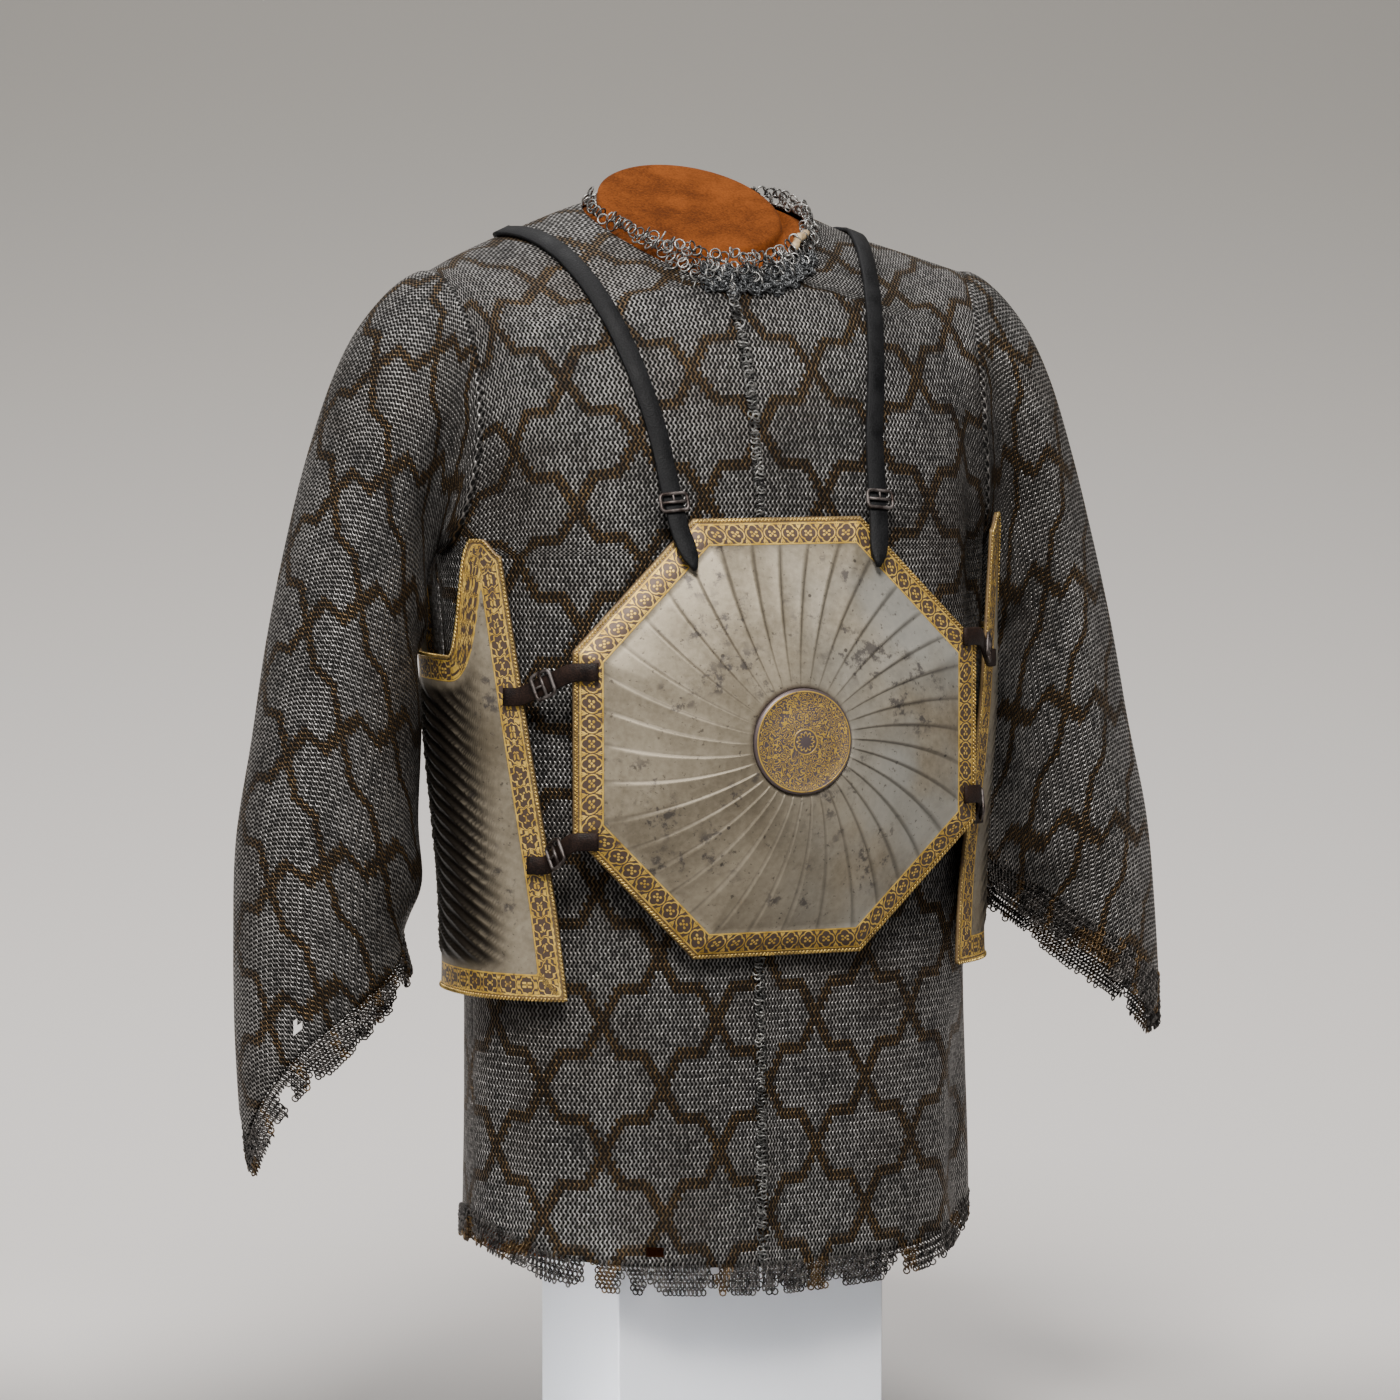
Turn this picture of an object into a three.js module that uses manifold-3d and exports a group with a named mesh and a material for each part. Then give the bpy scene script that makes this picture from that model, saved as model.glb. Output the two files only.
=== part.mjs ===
// Mail shirt under a four-plate cuirass, shown on a torso form that stands on a plinth.
// Millimetres, +Z up. The wearer faces -Y, so the wearer's right side is at -X.
// The origin is the middle of the plinth's underside.
import * as THREE from "three";
import { mergeGeometries, mergeVertices } from "three/addons/utils/BufferGeometryUtils.js";
import Module from "manifold-3d";

const wasm = await Module();
wasm.setup();

// Driving dimensions
const MAIL_WALL = 3; // thickness of the linked rings
const SEAM_GAP = 0.3; // between neighbouring pieces
const ARMPIT_Z = 645;
const SHOULDER_TIP_X = 200;
const NECK_HOLE = { halfWidth: 80, halfDepth: 76, centreY: 22 };
const FRONT_OPENING_X = -10; // the fronts meet a little to the wearer's right

const PLINTH = { width: 194, depth: 140, height: 176.7 };
const FORM = { bottomZ: 177, inset: 12, shoulderInset: 2 };
const NECK_BASE = { halfWidth: 71, halfDepth: 58, y: 24 };
const NECK_DISC = { halfWidth: 65, halfDepth: 62, y: 38, z: 876, tilt: THREE.MathUtils.degToRad(30) };

const OCTAGON = { acrossFlats: 291, border: 18, rise: 43, thickness: 2, flutes: 36, fluteHeight: 2.2 };
const FLUTE_TWIST = THREE.MathUtils.degToRad(10); // how far each flute swings round on its way out
const PLATE_Z = 524; // height of the middle of the breast and back plates
const BREAST_Y = -155; // foremost point of the breast plate's dome
const BACK_PLATE = { y: 156, tilt: THREE.MathUtils.degToRad(-6) };
const MEDALLION = { radius: 35, height: 2.4, gap: 0.3 };
const RIM = { width: 3, height: 1.6 };

const SIDE_PLATE = {
  bottomZ: 352,
  hornZ: 656,
  scoopZ: 578,
  offset: 8,
  thickness: 2,
  flutes: 11,
  fluteHeight: 2.4,
};
const SIDE_PLATE_RISE = { right: 0, left: 12 }; // the left one hangs a little higher

const STRAP = { width: 15, thickness: 3, clear: 0.9 };
const SIDE_STRAP = { width: 12, thickness: 2.4, drop: 18 }; // it falls by drop to the side plate

// The shirt's level sections below the armpit: half width, front and back, and how square each is
const SECTIONS = [
  { share: 0.0, halfWidth: 179, front: -112, back: 95, square: 2.25 },
  { share: 0.24, halfWidth: 177, front: -109, back: 92, square: 2.3 },
  { share: 0.48, halfWidth: 178, front: -105, back: 91, square: 2.35 },
  { share: 0.74, halfWidth: 189, front: -110, back: 105, square: 2.4 },
  { share: 1.0, halfWidth: 196, front: -107, back: 122, square: 2.45 },
];

// The shoulder ridge from the neck outwards
const RIDGE = [
  { x: 0, y: 58, z: 892 },
  { x: 65, y: 60, z: 880 },
  { x: 128, y: 60, z: 857 },
  { x: 170, y: 40, z: 842 },
  { x: 200, y: 19, z: 830 },
];

// The hem's height round the shirt, from the centre front (0) over the side (90) to the centre back (180)
const HEM = [
  { angle: 0, z: 150 },
  { angle: 45, z: 158 },
  { angle: 90, z: 181 },
  { angle: 135, z: 172 },
  { angle: 180, z: 165 },
];

// Tears through the mail: the piece, the middle, the way it faces (degrees from the front) and the size
const TEARS = [
  { piece: "mail_front_right", x: -44, y: -108, z: 170, facing: -12, width: 8, height: 8 },
  { piece: "mail_front_right", x: -84, y: -100, z: 184, facing: -24, width: 9, height: 12 },
  { piece: "mail_front_right", x: -126, y: -78, z: 164, facing: -42, width: 10, height: 34 },
  { piece: "mail_front_right", x: -104, y: -90, z: 158, facing: -32, width: 8, height: 26 },
  { piece: "mail_front_left", x: 96, y: -94, z: 160, facing: 30, width: 9, height: 22 },
  { piece: "mail_back", x: 92, y: 80, z: 170, facing: 150, width: 10, height: 26 },
  { piece: "mail_sleeve_right", x: -306, y: -22, z: 337, facing: -30, width: 6, height: 9 },
  { piece: "mail_sleeve_right", x: -312, y: -18, z: 288, facing: -35, width: 8, height: 16 },
];

// The sleeve from the armhole down: the highest and the lowest point of each section, and its depth
const SLEEVE = [
  { topX: 200, topZ: 830, underX: 196, underZ: 645, centreY: 22, halfDepth: 58 },
  { topX: 227, topZ: 811, underX: 202, underZ: 632, centreY: 24, halfDepth: 64 },
  { topX: 250, topZ: 772, underX: 206, underZ: 612, centreY: 27, halfDepth: 67 },
  { topX: 270, topZ: 715, underX: 207, underZ: 583, centreY: 30, halfDepth: 68 },
  { topX: 287, topZ: 652, underX: 206, underZ: 545, centreY: 31, halfDepth: 68 },
  { topX: 301, topZ: 588, underX: 207, underZ: 503, centreY: 31, halfDepth: 68 },
  { topX: 312, topZ: 522, underX: 209, underZ: 458, centreY: 31, halfDepth: 68 },
  { topX: 324, topZ: 455, underX: 211, underZ: 412, centreY: 30, halfDepth: 68 },
  { topX: 327, topZ: 390, underX: 214, underZ: 366, centreY: 28, halfDepth: 67 },
  { topX: 327, topZ: 320, underX: 218, underZ: 322, centreY: 26, halfDepth: 65 },
  { topX: 323, topZ: 250, underX: 223, underZ: 278, centreY: 25, halfDepth: 63 },
  { topX: 318, topZ: 180, underX: 228, underZ: 234, centreY: 24, halfDepth: 61 },
];

// Where each cuff ends round the sleeve, by angle from the top over the front: the height of its torn edge
const CUFFS = {
  right: [
    { angle: 0, z: 224 },
    { angle: 40, z: 272 },
    { angle: 75, z: 304 },
    { angle: 110, z: 334 },
    { angle: 150, z: 366 },
    { angle: 200, z: 366 },
    { angle: 260, z: 322 },
    { angle: 310, z: 262 },
    { angle: 360, z: 224 },
  ],
  left: [
    { angle: 0, z: 290 },
    { angle: 45, z: 308 },
    { angle: 90, z: 338 },
    { angle: 140, z: 374 },
    { angle: 190, z: 396 },
    { angle: 250, z: 368 },
    { angle: 310, z: 322 },
    { angle: 360, z: 290 },
  ],
};
const SLEEVE_SWING = { right: 0, left: 26 }; // the left sleeve hangs further out towards the cuff

// Soft folds of the sleeves: along is the share of the length, angle is from the top over the front
const SLEEVE_FOLDS = [
  { along: 0.16, angle: 118, length: 0.14, spread: 26, depth: -13 },
  { along: 0.25, angle: 150, length: 0.05, spread: 46, depth: 7 },
  { along: 0.32, angle: 165, length: 0.045, spread: 60, depth: -7 },
  { along: 0.18, angle: 245, length: 0.13, spread: 28, depth: -11 },
  { along: 0.61, angle: 140, length: 0.05, spread: 40, depth: 6 },
  { along: 0.68, angle: 150, length: 0.045, spread: 40, depth: -7 },
  { along: 0.74, angle: 140, length: 0.05, spread: 36, depth: 6 },
  { along: 0.57, angle: 300, length: 0.2, spread: 22, depth: -6 },
  { along: 0.51, angle: 60, length: 0.22, spread: 24, depth: -4 },
];

// Soft folds of the body: place by angle from the centre front and height, and how far they run up and across
const BODY_FOLDS = [
  { angle: 62, z: 230, up: 90, across: 9, depth: -6 },
  { angle: 80, z: 220, up: 100, across: 8, depth: 4 },
  { angle: -70, z: 250, up: 90, across: 9, depth: -4 },
  { angle: -60, z: 640, up: 60, across: 10, depth: -7 },
  { angle: 60, z: 640, up: 60, across: 10, depth: -7 },
  { angle: 120, z: 260, up: 110, across: 10, depth: -7 },
  { angle: 145, z: 250, up: 110, across: 9, depth: 5 },
  { angle: -130, z: 250, up: 110, across: 10, depth: -7 },
  { angle: -158, z: 240, up: 100, across: 9, depth: 5 },
];

const COLOURS = {
  mail: { color: 0x55534f, roughness: 0.5, metalness: 0.8 },
  steel: { color: 0x8d877a, roughness: 0.42, metalness: 0.9 },
  gold: { color: 0xb58a35, roughness: 0.4, metalness: 0.9 },
  strap: { color: 0x2a2a2b, roughness: 0.7, metalness: 0 },
  brownStrap: { color: 0x4a2a1c, roughness: 0.7, metalness: 0 },
  iron: { color: 0x4a3f38, roughness: 0.6, metalness: 0.7 },
  suede: { color: 0x8a4417, roughness: 0.95, metalness: 0 },
  plinth: { color: 0xc4c6cb, roughness: 0.8, metalness: 0 },
};

const HALF_TURN = Math.PI;
const QUARTER_TURN = Math.PI / 2;
const { lerp, clamp, degToRad, radToDeg, smoothstep } = THREE.MathUtils;

// A value from a short table, with a smooth curve through its rows
function along(rows, key, column, at) {
  const last = rows.length - 1;
  let i = 0;
  while (i < last - 1 && at > rows[i + 1][key]) i += 1;
  const before = rows[Math.max(i - 1, 0)];
  const [start, end] = [rows[i], rows[i + 1]];
  const after = rows[Math.min(i + 2, last)];
  const span = end[key] - start[key];
  const t = clamp((at - start[key]) / span, 0, 1);
  const slopeIn = ((end[column] - before[column]) / (end[key] - before[key])) * span;
  const slopeOut = ((after[column] - start[column]) / (after[key] - start[key])) * span;
  const t2 = t * t;
  const t3 = t2 * t;
  return (
    (2 * t3 - 3 * t2 + 1) * start[column] +
    (t3 - 2 * t2 + t) * slopeIn +
    (3 * t2 - 2 * t3) * end[column] +
    (t3 - t2) * slopeOut
  );
}

const bell = (distance, width) => Math.exp(-((distance / width) ** 2));

// Turns shorter than half a turn, in degrees
const turnBetween = (a, b) => ((((a - b) % 360) + 540) % 360) - 180;

// Solids from grids of points
function solidMesh(name, geometry, look) {
  const material = new THREE.MeshStandardMaterial(COLOURS[look]);
  const mesh = new THREE.Mesh(geometry, material);
  mesh.name = name;
  return mesh;
}

function geometryOf(points, triangles) {
  const geometry = new THREE.BufferGeometry();
  const places = points.flatMap((p) => [p.x, p.y, p.z]);
  geometry.setAttribute("position", new THREE.Float32BufferAttribute(places, 3));
  geometry.setIndex(triangles);
  return geometry;
}

// Normals of a grid of points by central differences; a wrapped grid closes on itself along each row
function gridNormals(grid, wrapped) {
  const rows = grid.length;
  const columns = grid[0].length;
  return grid.map((row, j) =>
    row.map((point, i) => {
      const left = wrapped ? row[(i - 1 + columns) % columns] : row[Math.max(i - 1, 0)];
      const right = wrapped ? row[(i + 1) % columns] : row[Math.min(i + 1, columns - 1)];
      const below = grid[Math.max(j - 1, 0)][i];
      const above = grid[Math.min(j + 1, rows - 1)][i];
      return right.clone().sub(left).cross(above.clone().sub(below)).normalize();
    }),
  );
}

// Moves each point of a grid along its normal
function offsetGrid(grid, distance, wrapped) {
  const normals = gridNormals(grid, wrapped);
  return grid.map((row, j) => row.map((point, i) => point.clone().addScaledVector(normals[j][i], distance)));
}

// A closed wall between an outer and an inner grid of the same size. Rows below joinedTo are left
// without an end face at the first column, where the other half of the same piece joins on.
function wallGeometry(outer, inner, wrapped, joinedTo = 0) {
  const rows = outer.length;
  const columns = outer[0].length;
  const size = rows * columns;
  const points = [...outer.flat(), ...inner.flat()];
  const triangles = [];
  const quad = (a, b, c, d) => triangles.push(a, b, c, a, c, d);
  const at = (j, i) => j * columns + (i % columns);
  const lastColumn = wrapped ? columns : columns - 1;
  for (let j = 0; j < rows - 1; j += 1) {
    for (let i = 0; i < lastColumn; i += 1) {
      quad(at(j, i), at(j, i + 1), at(j + 1, i + 1), at(j + 1, i));
      quad(size + at(j, i), size + at(j + 1, i), size + at(j + 1, i + 1), size + at(j, i + 1));
    }
  }
  for (let i = 0; i < lastColumn; i += 1) {
    const top = rows - 1;
    quad(at(0, i), size + at(0, i), size + at(0, i + 1), at(0, i + 1));
    quad(at(top, i), at(top, i + 1), size + at(top, i + 1), size + at(top, i));
  }
  if (!wrapped) {
    for (let j = 0; j < rows - 1; j += 1) {
      const end = columns - 1;
      if (j >= joinedTo) quad(at(j, 0), at(j + 1, 0), size + at(j + 1, 0), size + at(j, 0));
      quad(at(j, end), size + at(j, end), size + at(j + 1, end), at(j + 1, end));
    }
  }
  return geometryOf(points, triangles);
}

function flipped(geometry) {
  const index = geometry.getIndex();
  for (let i = 0; i < index.count; i += 3) {
    const second = index.getX(i + 1);
    index.setX(i + 1, index.getX(i + 2));
    index.setX(i + 2, second);
  }
  return geometry;
}

// A closed solid from a stack of rings, with a fan over each end
function stackGeometry(rings) {
  const columns = rings[0].length;
  const points = rings.flat();
  const triangles = [];
  for (let j = 0; j < rings.length - 1; j += 1) {
    for (let i = 0; i < columns; i += 1) {
      const next = (i + 1) % columns;
      const [a, b] = [j * columns + i, j * columns + next];
      triangles.push(a, b, b + columns, a, b + columns, a + columns);
    }
  }
  [0, rings.length - 1].forEach((j) => {
    const centre = rings[j].reduce((sum, p) => sum.add(p), new THREE.Vector3()).divideScalar(columns);
    points.push(centre);
    const hub = points.length - 1;
    for (let i = 0; i < columns; i += 1) {
      const [a, b] = [j * columns + i, j * columns + ((i + 1) % columns)];
      if (j === 0) triangles.push(hub, b, a);
      else triangles.push(hub, a, b);
    }
  });
  return geometryOf(points, triangles);
}

// A strip of rectangular section along a path, lying flat against the given outward directions
function strapGeometry(path, outward, width, thickness) {
  const rings = path.map((point, i) => {
    const before = path[Math.max(i - 1, 0)];
    const after = path[Math.min(i + 1, path.length - 1)];
    const across = after.clone().sub(before).cross(outward[i]).normalize().multiplyScalar(width / 2);
    const up = outward[i].clone().multiplyScalar(thickness);
    const low = point.clone();
    return [
      low.clone().sub(across),
      low.clone().sub(across).add(up),
      low.clone().add(across).add(up),
      low.clone().add(across),
    ];
  });
  return stackGeometry(rings);
}

function manifoldOf(geometry) {
  const bare = new THREE.BufferGeometry();
  bare.setAttribute("position", geometry.getAttribute("position"));
  bare.setIndex(geometry.getIndex());
  const merged = mergeVertices(bare, 1e-3);
  return new wasm.Manifold(
    new wasm.Mesh({
      numProp: 3,
      vertProperties: merged.getAttribute("position").array,
      triVerts: new Uint32Array(merged.getIndex().array),
    }),
  );
}

function cutGeometry(geometry, cutters) {
  const whole = manifoldOf(geometry);
  const left = cutters.reduce((solid, cutter) => solid.subtract(manifoldOf(cutter)), whole).getMesh();
  const cut = new THREE.BufferGeometry();
  cut.setAttribute("position", new THREE.BufferAttribute(left.vertProperties, 3));
  cut.setIndex(new THREE.BufferAttribute(left.triVerts, 1));
  return cut;
}

// The body of the shirt. psi runs from -90 degrees at the wearer's right side over 0 at the
// centre to 90 at the left side, on the front (face -1) or the back (face 1).
function levelSection(share) {
  const at = (column) => along(SECTIONS, "share", column, share);
  return { halfWidth: at("halfWidth"), front: at("front"), back: at("back"), square: at("square") };
}

function sectionPoint(section, psi, face) {
  const power = 2 / section.square;
  const across = Math.sign(psi) * Math.abs(Math.sin(psi)) ** power;
  const middle = (section.front + section.back) / 2;
  const depth = ((section.back - section.front) / 2) * Math.max(Math.cos(psi), 0) ** power;
  return { x: section.halfWidth * across, y: middle + face * depth };
}

function angleFromFront(psi, face) {
  const turn = radToDeg(psi);
  return face < 0 ? turn : Math.sign(turn || 1) * (180 - Math.abs(turn));
}

const hemHeight = (angle) => along(HEM, "angle", "z", Math.abs(angle));

function bodyFold(angle, z) {
  return BODY_FOLDS.reduce((sum, fold) => {
    const sideways = turnBetween(angle, fold.angle);
    return sum + fold.depth * bell(sideways, fold.across) * bell(z - fold.z, fold.up);
  }, 0);
}

// level 0 is the hem, 1 the armpit and 2 the shoulder ridge
function bodyPoint(psi, face, level, inset = { out: 0, up: 0 }) {
  const share = Math.min(level, 1);
  const section = levelSection(share);
  const angle = angleFromFront(psi, face);
  const hem = hemHeight(angle);
  const z = lerp(hem, ARMPIT_Z, share);
  const fold = inset.out > 0 ? 0 : bodyFold(angle, z) * smoothstep(2 - level, 0.3, 0.9);
  const move = fold - inset.out;
  section.halfWidth += move;
  section.front -= move;
  section.back += move;
  const plan = sectionPoint(section, psi, face);
  if (level <= 1) return new THREE.Vector3(plan.x, plan.y, z);
  const arch = (level - 1) * QUARTER_TURN;
  const ridgeX = Math.abs(plan.x) * (SHOULDER_TIP_X / SECTIONS.at(-1).halfWidth);
  const ridgeY = along(RIDGE, "x", "y", ridgeX);
  const ridgeZ = along(RIDGE, "x", "z", ridgeX) - inset.up;
  const x = lerp(plan.x, Math.sign(plan.x) * (ridgeX - inset.out), level - 1);
  return new THREE.Vector3(
    x,
    ridgeY + (plan.y - ridgeY) * Math.cos(arch),
    ARMPIT_Z + (ridgeZ - ARMPIT_Z) * Math.sin(arch),
  );
}

// The psi at which a section reaches a given distance from the middle
function psiForX(x, level) {
  const section = levelSection(Math.min(level, 1));
  const reach = lerp(section.halfWidth, SHOULDER_TIP_X, Math.max(level - 1, 0));
  return Math.sign(x) * Math.asin(Math.min(Math.abs(x) / reach, 1) ** (section.square / 2));
}

// The direction that faces out of the shirt
function bodyNormal(psi, face, level) {
  const step = 0.01;
  const across = bodyPoint(psi + step, face, level).sub(bodyPoint(psi - step, face, level));
  const up = bodyPoint(psi, face, level + step).sub(bodyPoint(psi, face, level - step));
  return across.cross(up).multiplyScalar(-face).normalize();
}

// The direction straight out of the shoulder ridge, in the plane of the shoulder seam
function ridgeNormal(x) {
  const step = 2;
  const reach = clamp(Math.abs(x), step, SHOULDER_TIP_X - step);
  const drop = along(RIDGE, "x", "z", reach - step) - along(RIDGE, "x", "z", reach + step);
  return new THREE.Vector3((Math.sign(x) * drop) / (2 * step), 0, 1).normalize();
}

// The rows of the body's grids, closer together round the neck
const LOW_ROWS = [0, 0.06, 0.15, 0.26, 0.37, 0.48, 0.59, 0.7, 0.81, 0.92];
const HIGH_ROWS = [1, 1.1, 1.2, 1.3, 1.4, 1.48, 1.55, 1.62, 1.69, 1.76, 1.84, 1.92, 2];
const ARMHOLE_OPEN = degToRad(25); // how far each panel stops short of the side at the armhole
const HALF_COLUMNS = 9;

function armholeEdge(level) {
  const share = clamp(level - 1, 0, 1);
  return QUARTER_TURN - ARMHOLE_OPEN * Math.sin(share * HALF_TURN) ** 0.4 * (1 - 0.2 * share);
}

function inNeckHole(point) {
  const across = point.x / NECK_HOLE.halfWidth;
  const depth = (point.y - NECK_HOLE.centreY) / NECK_HOLE.halfDepth;
  return point.z > ARMPIT_Z && across ** 2 + depth ** 2 < 1;
}

// Narrows down the place between low and high where a test turns true
function turningPoint(low, high, isPast) {
  for (let step = 0; step < 30; step += 1) {
    const middle = (low + high) / 2;
    if (isPast(middle)) high = middle;
    else low = middle;
  }
  return high;
}

// The rows of one face, with one row moved to the neck's lowest point
function faceRows(face) {
  const lowest = turningPoint(1.2, 2, (level) => inNeckHole(bodyPoint(0, face, level)));
  const away = (row) => Math.abs(row - lowest);
  const nearest = HIGH_ROWS.reduce((best, row) => (away(row) < away(best) ? row : best));
  const high = HIGH_ROWS.map((row) => (row === nearest ? lowest : row));
  return { rows: [...LOW_ROWS, ...high], high, neckRow: LOW_ROWS.length + HIGH_ROWS.indexOf(nearest) };
}

// The psi where the cloth of one row starts beside the neck
function neckEdge(face, level) {
  return turningPoint(0, QUARTER_TURN, (psi) => !inNeckHole(bodyPoint(psi, face, level)));
}

// One half of the front or back as an outer and an inner grid, from the centre line or the neck
// to the side or the armhole. At a seam the wall stays in the seam's plane.
function halfPanel(face, hand, centreX, centreGap) {
  const { rows, neckRow } = faceRows(face);
  const outer = [];
  const inner = [];
  rows.forEach((level, j) => {
    const centre = hand * psiForX(centreX, level);
    const start = j > neckRow ? Math.max(neckEdge(face, level), centre) : centre;
    const end = armholeEdge(level);
    const columns = Array.from({ length: HALF_COLUMNS }, (_, i) => i / (HALF_COLUMNS - 1));
    const normals = columns.map((t) => {
      const psi = hand * lerp(start, end, clamp(t, 0, 0.985));
      return bodyNormal(psi, face, Math.min(level, 1.98));
    });
    const points = columns.map((t) => bodyPoint(hand * lerp(start, end, t), face, level));
    const onSeam = (normal, i) => {
      const fixed = normal.clone();
      if (i === 0 && j <= neckRow) fixed.x = 0;
      if (i === HALF_COLUMNS - 1 && level <= 1) fixed.set(hand, 0, 0);
      if (level === 2) return ridgeNormal(points[i].x);
      return fixed.normalize();
    };
    const gap = (point, i) => {
      if (i === 0 && j <= neckRow) point.x += (hand * centreGap) / 2;
      if (i === HALF_COLUMNS - 1 && level <= 1) point.y += (face * SEAM_GAP) / 2;
      if (level === 2) point.y += (face * SEAM_GAP) / 2;
      return point;
    };
    outer.push(points.map(gap));
    inner.push(points.map((p, i) => p.clone().addScaledVector(onSeam(normals[i], i), -MAIL_WALL)));
  });
  return { outer, inner, neckRow };
}

// The wall of a half panel; halves on the other hand are turned so that their faces point out
function halfWall({ outer, inner, neckRow }, turned, joined) {
  const wall = wallGeometry(outer, inner, false, joined ? neckRow : 0);
  return turned ? flipped(wall) : wall;
}

function tearCutters(piece) {
  return TEARS.filter((tear) => tear.piece === piece).map((tear) => {
    const cutter = new THREE.CylinderGeometry(tear.width / 2, tear.width / 2, 30, 7);
    cutter.scale(1, 1, tear.height / tear.width);
    cutter.rotateZ(degToRad(tear.facing));
    return cutter.translate(tear.x, tear.y, tear.z);
  });
}

function mailPiece(name, wall) {
  const cutters = tearCutters(name);
  return solidMesh(name, cutters.length > 0 ? cutGeometry(wall, cutters) : wall, "mail");
}

function frontPanel(name, hand) {
  return mailPiece(name, halfWall(halfPanel(-1, hand, FRONT_OPENING_X, SEAM_GAP), hand < 0, false));
}

function backPanel(name) {
  const halves = [-1, 1].map((hand) => halfWall(halfPanel(1, hand, 0, 0), hand > 0, true));
  return mailPiece(name, mergeGeometries(halves));
}

// The sleeves. angle is in degrees from the shoulder ridge over the front to the underside.
const SLEEVE_STATIONS = 15;

function sleeveSection(share) {
  const at = (column) => {
    const rows = SLEEVE.map((row, i) => ({ ...row, share: i / (SLEEVE.length - 1) }));
    return along(rows, "share", column, share);
  };
  return {
    top: new THREE.Vector3(at("topX"), 0, at("topZ")),
    under: new THREE.Vector3(at("underX"), 0, at("underZ")),
    centreY: at("centreY"),
    halfDepth: at("halfDepth"),
  };
}

function sleeveFold(share, angle) {
  return SLEEVE_FOLDS.reduce((sum, fold) => {
    const sideways = turnBetween(angle, fold.angle);
    return sum + fold.depth * bell(share - fold.along, fold.length) * bell(sideways, fold.spread);
  }, 0);
}

// A point on the sleeve of the wearer's left; the other sleeve is its mirror image
function sleevePoint(share, angle) {
  const section = sleeveSection(share);
  const turn = degToRad(angle);
  const middle = section.top.clone().add(section.under).multiplyScalar(0.5);
  const half = section.top.clone().sub(section.under).multiplyScalar(0.5);
  const fold = sleeveFold(share, angle);
  const reach = 1 + fold / half.length();
  const point = middle.addScaledVector(half, Math.cos(turn) * reach);
  point.y = section.centreY - section.halfDepth * Math.sin(turn) * (1 + fold / section.halfDepth);
  return point;
}

// The armhole's edge as a loop, from the ridge down the front and up the back
function armholeLoop() {
  const edge = (face) => faceRows(face).high.map((level) => bodyPoint(armholeEdge(level), face, level));
  const front = edge(-1).reverse();
  const back = edge(1);
  const lowest = front.length - 1;
  const angleOf = (i) => (i / lowest) * 180;
  return [...front, ...back.slice(1, -1)].map((point, i) => ({ point, angle: angleOf(i) }));
}

function sleeve(name, hand, cuff, swing) {
  const loop = armholeLoop().map((start) => {
    const cuffZ = along(cuff, "angle", "z", start.angle);
    const end = turningPoint(0.4, 1, (share) => sleevePoint(share, start.angle).z < cuffZ);
    return { ...start, end };
  });
  const stations = Array.from({ length: SLEEVE_STATIONS }, (_, i) => i / (SLEEVE_STATIONS - 1));
  const outer = stations.map((t) =>
    loop.map(({ point, angle, end }) => {
      const start = point.clone();
      start.x += SEAM_GAP + 90 * t;
      const hanging = sleevePoint(t * end, angle);
      hanging.x += swing * (t * end) ** 1.5;
      const onSleeve = start.lerp(hanging, smoothstep(t, 0, 0.17));
      return onSleeve.setX(hand * onSleeve.x);
    }),
  );
  const inner = offsetGrid(outer, hand * MAIL_WALL, true);
  inner[0].forEach((p, i) => p.setX(outer[0][i].x));
  const wall = wallGeometry(outer, inner, true);
  return mailPiece(name, hand > 0 ? flipped(wall) : wall);
}

// The collar of larger rings stands on the neck's edge
const COLLAR = { height: 20, wall: 4, lean: 1, columns: 28 };

function neckRing(count, grow) {
  return Array.from({ length: count }, (_, i) => {
    const turn = (i / count) * 2 * HALF_TURN;
    const x = (NECK_HOLE.halfWidth + grow) * Math.sin(turn);
    const y = NECK_HOLE.centreY - (NECK_HOLE.halfDepth + grow) * Math.cos(turn);
    return new THREE.Vector3(x, y, shoulderHeight(x, y));
  });
}

// The height of the shirt's shoulders over a point of the plan
function shoulderHeight(x, y, inset = { out: 0, up: 0 }) {
  const section = levelSection(1);
  const halfWidth = section.halfWidth - inset.out;
  const across = Math.min(Math.abs(x) / halfWidth, 1);
  const depth = Math.max(1 - across ** section.square, 0) ** (1 / section.square);
  const middle = (section.front + section.back) / 2;
  const halfDepth = (section.back - section.front) / 2 - inset.out;
  const ridgeX = across * SHOULDER_TIP_X;
  const ridgeY = along(RIDGE, "x", "y", ridgeX);
  const ridgeZ = along(RIDGE, "x", "z", ridgeX) - inset.up;
  const face = y < ridgeY ? -1 : 1;
  const edgeY = middle + face * halfDepth * depth;
  const away = clamp((y - ridgeY) / (edgeY - ridgeY || 1), 0, 1);
  return ARMPIT_Z + (ridgeZ - ARMPIT_Z) * Math.sqrt(1 - away * away);
}

function collar(name) {
  const inward = neckRing(COLLAR.columns, -0.7 - COLLAR.wall);
  const outward = neckRing(COLLAR.columns, -0.7);
  const centre = new THREE.Vector3(0, NECK_HOLE.centreY, 0);
  const lift = (ring, rise, lean) =>
    ring.map((p) => {
      const out = p.clone().sub(centre).setZ(0).normalize();
      return p.clone().addScaledVector(out, lean).setZ(p.z + rise);
    });
  const rings = (edge) => [
    lift(edge, 1, 0),
    lift(edge, COLLAR.height * 0.55, 1),
    lift(edge, COLLAR.height, -COLLAR.lean),
  ];
  return solidMesh(name, wallGeometry(rings(outward), rings(inward), true), "mail");
}

// The torso form: level sections, then rings drawn in over the shoulders to the tilted neck
const FORM_COLUMNS = 40;
const FORM_LEVELS = [0.2, 0.4, 0.6, 0.8, 1];
const FORM_SHOULDERS = [0.1, 0.22, 0.36, 0.52, 0.7, 0.86, 1];

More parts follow.
